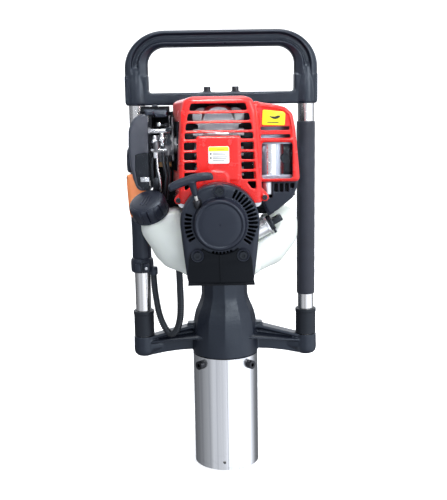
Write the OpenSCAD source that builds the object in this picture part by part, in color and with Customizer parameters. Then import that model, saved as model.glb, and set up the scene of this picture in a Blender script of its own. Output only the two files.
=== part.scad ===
// Petrol post driver: a four-stroke engine drives a crank and free piston hammer
// inside a cast housing; a steel sleeve at the foot goes over the post.
// Frame: Z up, origin at the centre of the sleeve's mouth, the engine faces -Y.

/* [Post sleeve] */
// Outside diameter of the post sleeve and of the housing barrel above it
sleeve_od = 100; // [98:1:104]
// Bore of the sleeve that takes the post
sleeve_id = 88; // [84:1:88]
// Height of the sleeve
sleeve_h = 176; // [172:1:178]
// Depth of the post bore below the anvil
socket_depth = 96; // [80:1:96]

/* [Handle frame] */
// Distance between the two side tubes, centre to centre
tube_spacing = 250; // [248:1:252]
// Outside diameter of the side tubes
tube_d = 24; // [22:0.5:24]
// Top of the upper handle
handle_top = 661.5; // [656:0.5:670]
// Thickness of the upper handle, front to back
handle_t = 28; // [26:1:30]
// Outside diameter of the grip sleeve
foam_d = 27.5; // [26:0.5:30]

/* [Hammer] */
// Travel of the anvil
anvil_travel = 24; // [12:1:24]
// Throw of the crank pin
crank_throw = 12; // [10:1:12]
// Gear module of the reduction pair
gear_m = 2; // [2:1:2]
// Teeth of the pinion on the clutch drum
pinion_t = 12; // [12:1:12]
// Teeth of the crank gear
gear_t = 48; // [48:1:48]

/* [Engine] */
// Sideways offset of the crankshaft axis from the hammer axis
eng_x = -4.5; // [-5:0.5:-4]
// Height of the crankshaft axis
eng_z = 402; // [402:1:402]
// Radius of the recoil starter case
starter_r = 52; // [50:0.5:52]

/* [Hidden] */
$fn = 64;
sr = sleeve_od / 2;
br = sleeve_id / 2;
tx = tube_spacing / 2;
tr = tube_d / 2;
gz = eng_z + sqrt(pow(gear_m * (pinion_t + gear_t) / 2, 2) - eng_x * eng_x);
screw_z = 165;
mesh_a = atan2(eng_z - gz, eng_x);  // from the crank gear to the pinion
bolt_r = 51.5;                     // engine bolts round the crankshaft axis
fit = 0.05;
cyl_y = -97;                       // centre of the engine cylinder, front to back
cap_a = [-0.27, -0.52, 0.81];      // fuel filler axis
cap_b = [-98.3, -117, 408.9];      // foot of the fuel cap
oil_a = [0.87, 0, 0.49];           // oil filler axis
oil_b = [62, -117, 391.6];         // face of the oil filler flange
pull_a = [-0.208, -0.297, 0.932];  // the way the starter rope is pulled
eyelet = [-33.6, -186, 433];

// ---------- helpers ----------
module cz(r, z0, z1, x = 0, y = 0, r2 = -1) translate([x, y, z0]) cylinder(r1 = r, r2 = r2 < 0 ? r : r2, h = z1 - z0);
module cy(r, y0, y1, x = 0, z = 0, r2 = -1) translate([x, y0, z]) rotate([-90, 0, 0]) cylinder(r1 = r, r2 = r2 < 0 ? r : r2, h = y1 - y0);
module cx(r, x0, x1, y = 0, z = 0) translate([x0, y, z]) rotate([0, 90, 0]) cylinder(r = r, h = x1 - x0);
module bx(x0, x1, y0, y1, z0, z1) translate([x0, y0, z0]) cube([x1 - x0, y1 - y0, z1 - z0]);
module ring_z(r, ri, z0, z1, x = 0, y = 0) difference() { cz(r, z0, z1, x, y); cz(ri, z0 - 1, z1 + 1, x, y); }
module ring_y(r, ri, y0, y1, x = 0, z = 0) difference() { cy(r, y0, y1, x, z); cy(ri, y0 - 1, y1 + 1, x, z); }
// a 2D shape drawn in X and Z, from y0 to y1
module xz(y0, y1) translate([0, y1, 0]) rotate([90, 0, 0]) linear_extrude(y1 - y0) children();
// children drawn along Z, turned to lie along direction d from point p
module along(p, d) translate(p) rotate([0, acos(d[2] / norm(d)), atan2(d[1], d[0])]) children();
module both() for (s = [-1, 1]) scale_x(s) children();
module scale_x(s) if (s > 0) children(); else mirror([1, 0, 0]) children();
module socket_screw(r, l, hr, hh, s) { difference() { union() { translate([0, 0, -l]) cylinder(r = r, h = l + 0.01); cylinder(r = hr, h = hh); } translate([0, 0, hh * 0.4]) cylinder(r = s, h = hh, $fn = 6); } }
// rounded 2D panel from primitives, so that it stays exact
module round_rect(x0, x1, z0, z1, r) { translate([x0 + r, z0]) square([x1 - x0 - 2 * r, z1 - z0]); translate([x0, z0 + r]) square([x1 - x0, z1 - z0 - 2 * r]); for (x = [x0 + r, x1 - r], z = [z0 + r, z1 - r]) translate([x, z]) circle(r); }
module arch(h, z0, z1, r) { translate([-h, z0]) square([2 * h, z1 - z0 - r]); translate([-h + r, z0]) square([2 * h - 2 * r, z1 - z0]); for (s = [-1, 1]) translate([s * (h - r), z1 - r]) circle(r); }

// ---------- involute gear outline ----------
function inv_xy(rb, t) = [rb * (cos(t) + t * PI / 180 * sin(t)), rb * (sin(t) - t * PI / 180 * cos(t))];
function rot2(p, a) = [p[0] * cos(a) - p[1] * sin(a), p[0] * sin(a) + p[1] * cos(a)];
function flank_t(rb, r) = sqrt(max(0, pow(r / rb, 2) - 1)) * 180 / PI;
function gear_pts(m, n, add, play = 0.12) = let (rp = m * n / 2, rb = rp * cos(20), ra = rp + add * m, rf = rp - 1.25 * m,
    half = 90 / n - play / rp * 180 / PI, tp = flank_t(rb, rp), ip = tp - atan2(tp * PI / 180, 1) , lo = max(rb, rf + 0.01))
  [for (i = [0:n - 1]) each let (a = i * 360 / n)
    [rot2([rf, 0], a - 180 / n + 0.15 * 360 / n),
     for (k = [0:3]) let (r = lo + (ra - lo) * k / 3, t = flank_t(rb, r), p = inv_xy(rb, t)) rot2(p, a - half - ip),
     for (k = [3:-1:0]) let (r = lo + (ra - lo) * k / 3, t = flank_t(rb, r), p = inv_xy(rb, t)) rot2([p[0], -p[1]], a + half + ip),
     rot2([rf, 0], a + 180 / n - 0.15 * 360 / n)]];
module gear2d(m, n, add) polygon(gear_pts(m, n, add));

// ---------- swept tube ----------
function cr(p0, p1, p2, p3, t) = 0.5 * ((2 * p1) + (p2 - p0) * t + (2 * p0 - 5 * p1 + 4 * p2 - p3) * t * t + (3 * p1 - p0 - 3 * p2 + p3) * t * t * t);
function spline(p, n) = let (q = concat([2 * p[0] - p[1]], p, [2 * p[len(p) - 1] - p[len(p) - 2]]))
  concat([for (i = [1:len(q) - 3], k = [0:n - 1]) cr(q[i - 1], q[i], q[i + 1], q[i + 2], k / n)], [p[len(p) - 1]]);
function unit(v) = v / norm(v);
module tube_along(p, r, sides = 8) {
  n = len(p);
  ref = [0.25, 1, 0.1];
  rings = [for (i = [0:n - 1]) let (d = unit(p[min(i + 1, n - 1)] - p[max(i - 1, 0)]), u = unit(cross(d, ref)), v = cross(d, u))
    for (k = [0:sides - 1]) p[i] + r * (cos(360 * k / sides) * u + sin(360 * k / sides) * v)];
  faces = concat([[for (k = [0:sides - 1]) k]], [[for (k = [sides - 1:-1:0]) (n - 1) * sides + k]],
    [for (i = [0:n - 2], k = [0:sides - 1]) each [[i * sides + k, (i + 1) * sides + k, i * sides + (k + 1) % sides], [i * sides + (k + 1) % sides, (i + 1) * sides + k, (i + 1) * sides + (k + 1) % sides]]]);
  polyhedron(rings, faces, convexity = 6);
}

// ---------- foot: sleeve, barrel and arms ----------
module post_sleeve() color([0.78, 0.78, 0.8]) difference() {
  cz(sr, 0, sleeve_h);
  cz(br, -1, socket_depth);
  cz(br + 0.5, socket_depth, sleeve_h + 1);
  for (a = [45:90:315]) rotate([0, 0, a]) cx(4.2, br - 4, sr + 5, 0, screw_z);
  cy(2.5, -sr - 2, -br + 2, -3.8, 12.5);
}
module sleeve_screws() color([0.1, 0.1, 0.11]) for (a = [45:90:315]) rotate([0, 0, a]) translate([sr, 0, screw_z]) rotate([0, 90, 0]) socket_screw(4.1, 15, 6.5, 8, 3.2);
module arm() {
  // flat web that widens towards the barrel
  translate([0, 0, 209]) rotate([0, 8.3, 0]) translate([0, 0, -6]) linear_extrude(6) polygon([[33, -36], [33, 36], [116, 12.5], [116, -12.5]]);
  xz(-6, 6) polygon([[38, 181], [48, 180.6], [114, 172], [114, 202], [48, 220], [38, 220]]);
  xz(-11, 11) polygon([[40, 220.5], [56, 218.6], [114, 202.6], [114, 197.6], [56, 213], [40, 215]]);
  bx(44, 58, -8, 8, 214, 224);
  cz(16, 174, 204, tx);
  cz(13, 170, 174, tx, 0, 16);
}
module barrel_housing() color([0.12, 0.12, 0.13]) difference() {
  union() {
    cz(br + 0.4, 146, 176);
    rotate_extrude() polygon([[0, 176], [sr, 176], [49.8, 200], [48.5, 214], [46.5, 228], [43.5, 240], [39.5, 250], [36, 258], [34.2, 265], [34, 272], [34, 330], [0, 330]]);
    cz(46, 318, 330);
    both() arm();
  }
  cz(24, 145, 184);
  cz(24.5, 182, 197);
  cz(26.1, 196, 331);
  for (a = [45:90:315]) rotate([0, 0, a]) { cx(4.15, 33, sr, 0, screw_z); cz(3.25, 317, 331, 39.5); }
  both() cz(tr + fit, 185, 205, tx);
}
module damper(s) color([0.09, 0.09, 0.1]) difference() { union() { cz(15.3, 204, 243, s * tx); cz(15.9, 238, 243, s * tx); } cz(tr + fit, 203, 244, s * tx); }
module side_tube(s) color([0.75, 0.75, 0.77]) ring_z(tr, tr - 1.7, 185.5, 586, s * tx);

// ---------- upper handle ----------
module top_handle() color([0.12, 0.12, 0.13]) difference() {
  union() {
    xz(-handle_t / 2, handle_t / 2) difference() { arch(141, 554, handle_top, 52); arch(107, 572, handle_top - 24.5, 22); }
    both() cz(17, 554, 598, tx - 1);
  }
  both() cz(tr + fit, 553, 587, tx);
  for (s = [-1, 1]) scale_y(s) xz(-handle_t / 2 - 1, -handle_t / 2 + 5) difference() {
    intersection() { arch(135.5, 500, handle_top - 5.5, 46.5); translate([-150, 600]) square([300, 100]); }
    arch(123, 400, handle_top - 18, 34);
  }
  for (x = [-20.8, 20.8]) cz(3.3, 553, 573, x);
}
module scale_y(s) if (s > 0) children(); else mirror([0, 1, 0]) children();
module handle_screws() color([0.1, 0.1, 0.11]) for (x = [-20.8, 20.8]) { translate([x, 0, 573.6]) socket_screw(3.1, 40, 5, 6.4, 2.5); ring_z(6.6, 3.2, 572, 573.6, x); }
module handle_isolators() color([0.08, 0.08, 0.09]) for (x = [-20.8, 20.8]) ring_z(12, 3.3, 550, 554, x);
module grip_sleeve() color([0.15, 0.15, 0.17]) ring_z(foam_d / 2, tr + 0.02, 266.5, 528, tx);

// ---------- hammer ----------
module guide_bush() color([0.72, 0.55, 0.3]) ring_z(23.95, 16.06, 146, 182);
module buffer_ring() color([0.08, 0.08, 0.09]) ring_z(30, 17, 140.4, 146);
module anvil() color([0.5, 0.5, 0.52]) { cz(38, 98, 100, 0, 0, 40); cz(40, 100, 116); cz(16, 116, 183); cz(19.5, 182.05, 190); }
module ram() color([0.55, 0.55, 0.57]) difference() { cz(20.93, 190.2, 235); for (z = [222, 228]) ring_z(25, 19.6, z, z + 2.5); }
module cylinder_liner() color([0.6, 0.6, 0.62]) ring_z(26, 21, 196, 384);
module drive_piston() color([0.7, 0.7, 0.72]) difference() { cz(20.93, 298, 355); cz(18.9, 307, 356); }
module connecting_rod() color([0.6, 0.6, 0.62]) difference() {
  union() { cy(12, -5, 5, 0, gz - crank_throw); cy(5.5, -5, 5, 0, gz - crank_throw - 112); bx(-4, 4, -4, 4, gz - crank_throw - 112, gz - crank_throw - 8); }
  cy(7.06, -6, 6, 0, gz - crank_throw);
  cy(2.5, -6, 6, 0, gz - crank_throw - 112);
}
module crank_gear() color([0.5, 0.5, 0.52]) {
  translate([0, 0, gz]) xz(-22, -10) difference() { rotate(mesh_a + 180 / gear_t) gear2d(gear_m, gear_t, 0.72); for (a = [30:60:330]) if (a != 270) rotate(a) translate([28, 0]) circle(9); }
  cy(16, -10, -7.5, 0, gz - crank_throw / 2);
  cy(7, -8, 8, 0, gz - crank_throw);
  cy(10, 5.4, 8, 0, gz - crank_throw);
  cy(8, -46, -21, 0, gz);
}
module case_bearings() color([0.66, 0.66, 0.68]) { ring_y(15, 8.03, -45, -36.5, 0, gz); ring_y(15, 8.03, -33, -24.6, 0, gz); ring_y(14, 6.03, -33.4, -24.3, eng_x, eng_z); }
module case_outline(r) { translate([0, gz]) circle(r); translate([-34, 386]) square([68, gz - 386]); }
module gear_case() color([0.12, 0.12, 0.13]) difference() {
  union() {
    cz(46, 330, 342);
    cz(34, 330, 385.9);
    xz(-30, 24) case_outline(60);
    bx(-34, 34, -24, 24, 505, 550);
    cy(45, -53, -29, eng_x, eng_z);
    cy(18, -46, -29, 0, gz);
    for (a = [45:90:315]) rotate_at(a) cy(7, -53, -42, bolt_r, 0);
    bx(-34, 34, -30, 20, 380, 400);
  }
  cz(26.1, 329, 384.2);
  cy(51.5, -24, 25, 0, gz);
  bx(-27, 27, -24, 25, 384, gz);
  cy(41, -54, -33.6, eng_x, eng_z);
  cy(14.05, -34, -23, eng_x, eng_z);
  cy(15.05, -47, -23, 0, gz);
  for (a = [45:90:315]) { rotate([0, 0, a]) cz(3.25, 329, 343, 39.5); rotate_at(a) cy(3.25, -54, -41, bolt_r, 0); }
  for (x = [-20.8, 20.8]) cz(3.15, 525, 551, x);
  for (a = cover_at) translate([0, 0, gz]) rotate([0, -a, 0]) cy(2.1, 8, 25, 56, 0);
}
cover_at = [0, 60, 120, 180, 232, 308];
module rotate_at(a) translate([eng_x, 0, eng_z]) rotate([0, -a, 0]) children();
module case_bolts() color([0.1, 0.1, 0.11]) for (a = [45:90:315]) {
  rotate([0, 0, a]) translate([39.5, 0, 342]) socket_screw(3.1, 22, 5, 6, 2.5);
  rotate_at(a) translate([bolt_r, -42, 0]) rotate([-90, 0, 0]) socket_screw(3.1, 22, 5, 6, 2.5);
}
module gear_cover() color([0.13, 0.13, 0.14]) difference() {
  union() {
    xz(24, 31) case_outline(60);
    cy(34, 30, 35, 0, gz, 31);
    cy(12, 34, 38, 0, gz);
    for (a = [30:60:330]) translate([0, 0, gz]) rotate([0, -a, 0]) bx(30, 54, 30, 33.5, -2, 2);
  }
  for (a = cover_at) translate([0, 0, gz]) rotate([0, -a, 0]) cy(2.6, 23, 36, 56, 0);
}
module cover_screws() color([0.1, 0.1, 0.11]) for (a = cover_at) translate([0, 0, gz]) rotate([0, -a, 0]) translate([56, 31, 0]) rotate([-90, 0, 0]) socket_screw(2.05, 20, 4.2, 4.5, 2);

// ---------- clutch and engine core ----------
module clutch_drum() color([0.45, 0.45, 0.47]) {
  difference() { cy(40, -52, -35.6, eng_x, eng_z); cy(37.5, -53, -38.2, eng_x, eng_z); }
  cy(6, -36, -8.6, eng_x, eng_z);
  translate([eng_x, 0, eng_z]) xz(-22, -10) rotate(mesh_a + 180) gear2d(gear_m, pinion_t, 0.95);
}
module clutch_shoes() color([0.4, 0.38, 0.36]) difference() {
  cy(36, -51, -39.4, eng_x, eng_z);
  for (a = [0, 180]) translate([eng_x, 0, eng_z]) rotate([0, -a, 0]) { bx(20, 40, -52, -39, -1.5, 1.5); cy(4, -52, -39, 22, 10); }
  cy(8.03, -60, -39, eng_x, eng_z);
}
module crankshaft() color([0.62, 0.62, 0.64]) {
  cy(8, -152, -101.9, eng_x, eng_z);
  cy(8, -92.1, -39.4, eng_x, eng_z);
  for (y = [-112, -92]) difference() { cy(26, y, y + 10, eng_x, eng_z); bx(eng_x + 12, eng_x + 30, y - 1, y + 11, 395, 440); bx(eng_x - 30, eng_x - 12, y - 1, y + 11, 395, 440); }
  cy(5, -103, -91, eng_x, 415);
}
module engine_rod() color([0.68, 0.68, 0.7]) difference() {
  union() { cy(8.5, -100.5, -93.5, eng_x, 415); cy(4, -100.5, -93.5, eng_x, 470); bx(eng_x - 2.5, eng_x + 2.5, -99.5, -94.5, 421, 468); }
  cy(5.06, -102, -92, eng_x, 415);
  cy(2, -102, -92, eng_x, 470);
}
module engine_piston() color([0.74, 0.74, 0.76]) difference() { cz(18.93, 466, 505, eng_x, cyl_y); cz(17.5, 465, 501, eng_x, cyl_y); ring_z(20, 18, 492, 494, eng_x, cyl_y); ring_z(20, 18, 497, 499, eng_x, cyl_y); }
module flywheel() color([0.55, 0.55, 0.57]) difference() {
  union() { cy(46, -144, -138, eng_x, eng_z); cy(16, -150, -132, eng_x, eng_z); for (a = [0:30:330]) translate([eng_x, 0, eng_z]) rotate([0, -a, 0]) bx(20, 45, -150, -143.5, -1.2, 1.2); }
  cy(8.03, -153, -130, eng_x, eng_z);
}
module crankcase() color([0.7, 0.7, 0.72]) difference() {
  union() {
    cy(42, -128, -57, eng_x, eng_z);
    bx(eng_x - 36, eng_x + 36, -126, -68, 400, 446);
    for (a = [45:90:315]) rotate_at(a) { cy(7, -66, -53, bolt_r, 0); bx(30, bolt_r, -62, -55, -6, 6); }
    ring_y(45, 38, -60, -53, eng_x, eng_z);
    along(oil_b - 46 * oil_a, oil_a) cylinder(r = 12, h = 46);
    along(oil_b - 3 * oil_a, oil_a) cylinder(r = 15.6, h = 3);
    cy(6, -136.8, -120, eng_x + 50, 424);
    bx(eng_x + 30, eng_x + 50, -128, -120, 416, 430);
    cy(6, -136.8, -120, eng_x - 50, 424);
    bx(eng_x - 50, eng_x - 30, -128, -120, 416, 430);
  }
  cy(34, -120, -64, eng_x, eng_z);
  cy(8.1, -129, -56, eng_x, eng_z);
  cz(19, 420, 447, eng_x, cyl_y);
  along(oil_b - 46 * oil_a, oil_a) cylinder(r = 8, h = 48);
  for (a = [45:90:315]) rotate_at(a) cy(3.15, -67, -52, bolt_r, 0);
}
module cylinder_block() color([0.72, 0.72, 0.74]) difference() {
  union() {
    cz(24, 446, 522, eng_x, cyl_y);
    for (z = [450:9:504]) bx(eng_x - 33, eng_x + 33, -124, -70, z, z + 3);
    bx(eng_x - 34, eng_x + 34, -126, -70, 513, 522);
    bx(eng_x - 27, eng_x + 27, -122, -72, 522, 534);
    cy(21, -130, -76, eng_x, 530);
    for (s = [-1, 1]) cy(12, -112, -76, eng_x + s * 23, 538);
    cx(13, eng_x - 44, eng_x - 22, cyl_y, 500);
    cx(13, eng_x + 22, eng_x + 43, cyl_y, 486);
  }
  cz(19, 445, 512, eng_x, cyl_y);
  cx(8, eng_x - 45, eng_x - 15, cyl_y, 500);
  cx(8, eng_x + 15, eng_x + 51, cyl_y, 486);
  cy(5, -80, -70, eng_x + 16, 528);
}
module spark_plug_cap() color([0.08, 0.08, 0.09]) { cy(4.9, -79, -69, eng_x + 16, 528); cy(9, -69.9, -52, eng_x + 16, 528); cy(6, -53, -43, eng_x + 16, 528); cz(3.2, 505, 526, eng_x + 16, -48); }
module ignition_coil() color([0.1, 0.1, 0.1]) { bx(-34, -8, -136.6, -128, 452, 472); bx(-31, -25, -135, -130, 471, 484); }

// ---------- covers ----------
cover_pts = [[-64, 421], [-63, 452], [-61, 548], [-56, 560], [-46, 564.5], [32, 564], [41, 557], [54, 555], [72, 552], [85, 548], [92, 541], [96, 526], [100, 480], [104, 451.5], [57, 451.5], [57.5, 424], [50, 421]];
cover_in = [[-61, 410], [-60, 452], [-58, 547], [-54, 557.5], [-45, 561.5], [31, 561], [39, 554], [53, 552], [71, 549], [83, 545.5], [89, 539.5], [93, 525], [97, 480], [100.5, 454.5], [54, 454.5], [54.5, 410]];
slot_z = [550, 537.5, 525.4];
module fan_cover() color([0.82, 0.07, 0.08]) difference() {
  union() {
    difference() { xz(-140, -84) polygon(cover_pts); xz(-137, -83) polygon(cover_in); }
    xz(-146, -139.9) polygon([[-52, 430], [-50, 500], [-47, 545], [-42, 560], [28, 560], [35, 545], [42, 500], [46, 430]]);
  }
  // the grille
  xz(-147, -136) {
    polygon([[-41, 554.6], [31, 554.6], [33, 545.5], [-43, 545.5]]);
    polygon([[-44, 542.2], [35, 542.2], [37, 533], [-46, 533]]);
    polygon([[-46, 530], [38, 530], [39.5, 521], [-48, 521]]);
    polygon([[-48, 518], [40, 518], [41, 509], [24, 509], [24, 513.5], [-33, 513.5], [-33, 509], [-49, 509]]);
    for (i = [0:3]) translate([-50, 495.5 - 13.2 * i]) square([17, 9.4]);
    for (i = [0:4]) translate([24.5, 495.5 - 13.2 * i]) square([18, 9.6]);
  }
  // muffler window and its two slots
  bx(53, 92, -141, -120, 456, 504);
  bx(51, 90, -141, -136, 510, 513.5);
  bx(51, 90, -141, -136, 520.5, 524);
  bx(51, 110, -141, -134, 540, 545);
  // air for the fan, and room for the case below the panel
  cy(50, -147, -130, eng_x, eng_z);
  bx(-55, 47, -138, -80, 405, 446);
  for (s = [-1, 1]) cy(6.8, -137, -80, eng_x + s * 50, 424);
  // sides open to the carburettor and to the oil filler
  bx(-70, -55, -128, -80, 465, 530);
  bx(52, 110, -130, -80, 440, 456);
  bx(48, 60, -130, -80, 410, 452);
}
module starter_outline(r, e) { translate([eng_x, eng_z]) circle(r); polygon([[eng_x - r, eng_z], [-51 + e, 352], [-46.5 + e, 326.2 + e], [38 - e, 326.2 + e], [42.5 - e, 352], [eng_x + r, eng_z]]); }
module recoil_starter() color([0.13, 0.13, 0.14]) difference() {
  union() {
    xz(-182, -152) starter_outline(starter_r, 0);
    cy(31, -198, -181, eng_x, eng_z, 33);
    cy(8, -186, -180, eng_x, 444.5);
    along(eyelet - 10 * pull_a, pull_a) cylinder(r = 5.5, h = 10);
  }
  difference() { xz(-179, -151) starter_outline(starter_r - 3, 3); cy(7.5, -180, -150, eng_x, 444.5); for (s = [-1, 1]) cy(8, -180, -150, eng_x + s * 29.75, 361); }
  cy(28.5, -195, -178, eng_x, eng_z);
  for (q = [[-34, 66], [166, 214], [258, 290]], a = [q[0]:8:q[1]]) translate([eng_x, 0, eng_z]) rotate([0, -a, 0]) bx(35, 46.5, -183, -178, -1.5, 1.5);
  along(eyelet - 24 * pull_a, pull_a) cylinder(r = 2.2, h = 40);
  cy(3.2, -199, -150, eng_x, 444.5);
  for (s = [-1, 1]) cy(3.2, -199, -150, eng_x + s * 29.75, 361);
}
module starter_screws() color([0.1, 0.1, 0.11]) {
  translate([eng_x, -186, 444.5]) rotate([90, 0, 0]) socket_screw(3, 34, 5, 5, 2.5);
  for (s = [-1, 1]) translate([eng_x + s * 29.75, -185.8, 361]) rotate([90, 0, 0]) socket_screw(3, 34, 5, 5, 2.5);
}
module starter_reel() color([0.2, 0.2, 0.22]) difference() {
  union() { cy(31, -176, -174, eng_x, eng_z); cy(31, -166, -164, eng_x, eng_z); cy(25, -175, -165, eng_x, eng_z); cy(12, -192, -160, eng_x, eng_z); ring_y(28.5, 24.5, -173.6, -166.4, eng_x, eng_z); }
  cy(4, -193, -150, eng_x, eng_z);
}
module starter_rope() color([0.9, 0.9, 0.88]) along(eyelet - 9 * pull_a, pull_a) cylinder(r = 1.8, h = 17);
module starter_grip() color([0.14, 0.14, 0.15]) {
  along(eyelet + 8.2 * pull_a, pull_a) cylinder(r1 = 4, r2 = 5.6, h = 20.5);
  translate(eyelet + 29.5 * pull_a + [-1.5, 0, 0.5]) rotate([0, -13.5, 0]) { cx(5, -24, 24); for (s = [-1, 1]) translate([s * 24, 0, 0]) sphere(5); }
}
module tank_guard() color([0.12, 0.12, 0.13]) difference() {
  union() {
    xz(-185.6, -182.1) difference() {
      polygon([[-47.5, 321], [40, 321], [38.5, 327], [37.5, 350], [34.5, 361], [28, 367], [-37, 367], [-43.5, 361], [-46.5, 350], [-47.2, 327]]);
      translate([eng_x, eng_z]) circle(37.5);
    }
    bx(-46.5, 38.5, -185.6, -156, 321, 325.8);
    bx(eng_x - 1.5, eng_x + 1.5, -186.8, -185, 325, 363);
    for (s = [-1, 1]) ring_y(8.4, 6, -188.6, -185.5, eng_x + s * 29.75, 361);
  }
  for (s = [-1, 1]) cy(3.2, -187, -181, eng_x + s * 29.75, 361);
}

// ---------- fuel and oil ----------
module lobe(l, g = 0) hull() for (s = l) translate([s[0], s[1], s[2]]) sphere(s[3] - g, $fn = 28);
left_lobe = [[-87, -84, 386, 22], [-87, -114, 388, 24], [-66, -84, 356, 23], [-66, -122, 356, 23], [-64, -86, 397, 15], [-68, -116, 397, 15], [-44, -86, 345, 20], [-44, -124, 345, 20]];
right_lobe = [[79, -66, 400, 21], [79, -74, 400, 21], [76, -66, 388, 24], [76, -74, 388, 24], [58, -70, 352, 25], [58, -84, 352, 25], [38, -80, 345, 20], [38, -118, 341, 17]];
bridge = [[-46, -84, 338, 14], [-46, -128, 338, 14], [38, -84, 338, 14], [38, -128, 338, 14]];
module fuel_tank() color([0.93, 0.95, 0.92]) difference() {
  union() {
    difference() {
      union() { lobe(left_lobe); lobe(right_lobe); lobe(bridge); }
      cy(44.5, -150, -40, eng_x, eng_z);
      for (a = [225, 315]) rotate_at(a) cy(9, -72, -34, bolt_r, 0);
      along(oil_b - 46 * oil_a, oil_a) cylinder(r = 14.5, h = 44);
      along(oil_b - 4 * oil_a, oil_a) cylinder(r = 18.5, h = 40);
    }
    along(cap_b - 16 * cap_a, cap_a) cylinder(r = 17.5, h = 29);
  }
  along(cap_b - 30 * cap_a, cap_a) cylinder(r = 14.5, h = 60);
  lobe(left_lobe, 4.5);
}
module fuel_cap() color([0.11, 0.11, 0.13]) along(cap_b, cap_a) difference() {
  union() { translate([0, 0, 1.2]) cylinder(r = 23.5, h = 16.8); translate([0, 0, 18]) cylinder(r1 = 23.5, r2 = 21, h = 3); for (a = [0:30:330]) rotate([0, 0, a]) translate([23, 0, 3]) cylinder(r = 1.2, h = 14); }
  translate([0, 0, -1]) cylinder(r = 18.2, h = 16);
}
module fuel_cap_seal() color([0.08, 0.08, 0.08]) along(cap_b, cap_a) difference() { translate([0, 0, 13.1]) cylinder(r = 17, h = 1.8); translate([0, 0, 12]) cylinder(r = 14, h = 6); }
module oil_cap() color([0.12, 0.12, 0.13]) along(oil_b, oil_a) {
  translate([0, 0, 1.4]) cylinder(r = 11, h = 5);
  translate([-4.5, -9.5, 6]) cube([9, 19, 14]);
  translate([0, 0, -28]) cylinder(r = 3, h = 30);
  translate([0, 0, -10]) cylinder(r = 7.4, h = 11.5);
  translate([9, -4, 1.4]) cube([7, 8, 4]);
}
module oil_cap_seal() color([0.08, 0.08, 0.08]) along(oil_b, oil_a) difference() { translate([0, 0, 0.1]) cylinder(r = 10.4, h = 1.2); translate([0, 0, -1]) cylinder(r = 7.6, h = 4); }

// ---------- intake ----------
ac_out = [[-100, 441.5], [-116, 441.5], [-121, 448], [-126, 470], [-128.5, 500], [-127.5, 522], [-122, 535], [-114, 541.5], [-104, 543.5], [-100, 543.5]];
ac_in = [[-99, 444], [-115, 444], [-119, 449], [-123.5, 470], [-126, 500], [-125, 521], [-120, 533], [-113, 539], [-104, 541], [-99, 541]];
module air_cleaner_cover() color([0.2, 0.2, 0.23]) difference() {
  union() { xz(-108, -62) polygon(ac_out); bx(-113, -100, -110, -107, 450, 459); }
  xz(-105.5, -64.5) polygon(ac_in);
}
module air_cleaner_base() color([0.08, 0.08, 0.09]) difference() {
  union() {
    bx(-99.9, -95, -107, -63, 443, 546);
    bx(-110, -72, -104, -78, 545, 553);
    bx(-99, -92, -104, -78, 538, 546);
    cx(11, -96, -92, cyl_y, 500);
  }
  cx(8, -101, -91, cyl_y, 500);
}
module air_filter() color([0.25, 0.25, 0.2]) bx(-118, -100.2, -102, -68, 452, 532);
module carburetor() color([0.62, 0.62, 0.64]) difference() {
  union() {
    bx(-92, -66, -112, -82, 487, 514);
    cx(11, -91.9, -66, cyl_y, 500);
    cx(12, -66, eng_x - 44, cyl_y, 500);
    bx(-98, -76.5, -117, -111.9, 517, 522);
    bx(-68, -65.9, -112, -80, 480, 538);
    bx(-84, -80, -116, -111.8, 487, 520);
    cz(13, 478, 487, -79, cyl_y);
    cz(4, 514, 524, -76, -92);
    bx(-94, -76, -124, -111.8, 492, 495);
    cz(4.5, 495, 506, -88.5, -119.6);
  }
  cx(7, -100, -44, cyl_y, 500);
  cz(9.3, 477, 483, -79, cyl_y);
  cz(1.5, 490, 508, -88.5, -119.6);
}
module choke_lever() color([0.1, 0.1, 0.1]) { cy(4, -116.5, -112.1, -72, 505); bx(-73.8, -70.2, -116.3, -113, 505, 522); cy(3.5, -124, -113, -72, 522); }
module primer_bulb() color([0.55, 0.35, 0.2]) difference() { cz(9, 471, 477.9, -79, cyl_y, 9); cz(7.5, 472, 479, -79, cyl_y); }
module throttle_lever() color([0.7, 0.7, 0.72]) { cz(3, 524.1, 530, -76, -92); bx(-90, -74, -95, -89, 526, 528.5); cz(3.2, 524.6, 531, -89, -92); }

// ---------- exhaust ----------
module muffler() color([0.72, 0.73, 0.75]) difference() {
  union() {
    bx(50, 78, -124, -74, 457, 506);
    cz(26, 457, 506, 66, -100);
    bx(66, 94, -110, -74, 457, 506);
    bx(49, 93, -128, -78, 454.8, 457);
    bx(49, 93, -128, -78, 506, 508);
    cx(12.5, eng_x + 43.1, 52, cyl_y, 486);
  }
  bx(53, 75, -120, -78, 460, 503);
  cz(22, 460, 503, 66, -100);
  bx(66, 91, -106, -78, 460, 503);
  cx(7.5, eng_x + 42, 56, cyl_y, 486);
  cy(6, -130, -105, 84, 482);
}
module muffler_guard() color([0.1, 0.1, 0.1]) difference() {
  xz(-122, -98) polygon([[54, 451.4], [104, 451.4], [99.5, 437], [95, 428], [75, 412], [60, 408], [66, 424], [58, 432]]);
  xz(-119.5, -97) polygon([[57, 453], [100, 453], [96.5, 438], [93, 430], [74, 415], [66.5, 411.5], [69, 424], [61, 433]]);
  for (i = [0:3]) bx(70 + 6.5 * i, 73.6 + 6.5 * i, -123, -118, 434, 446);
}

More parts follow.
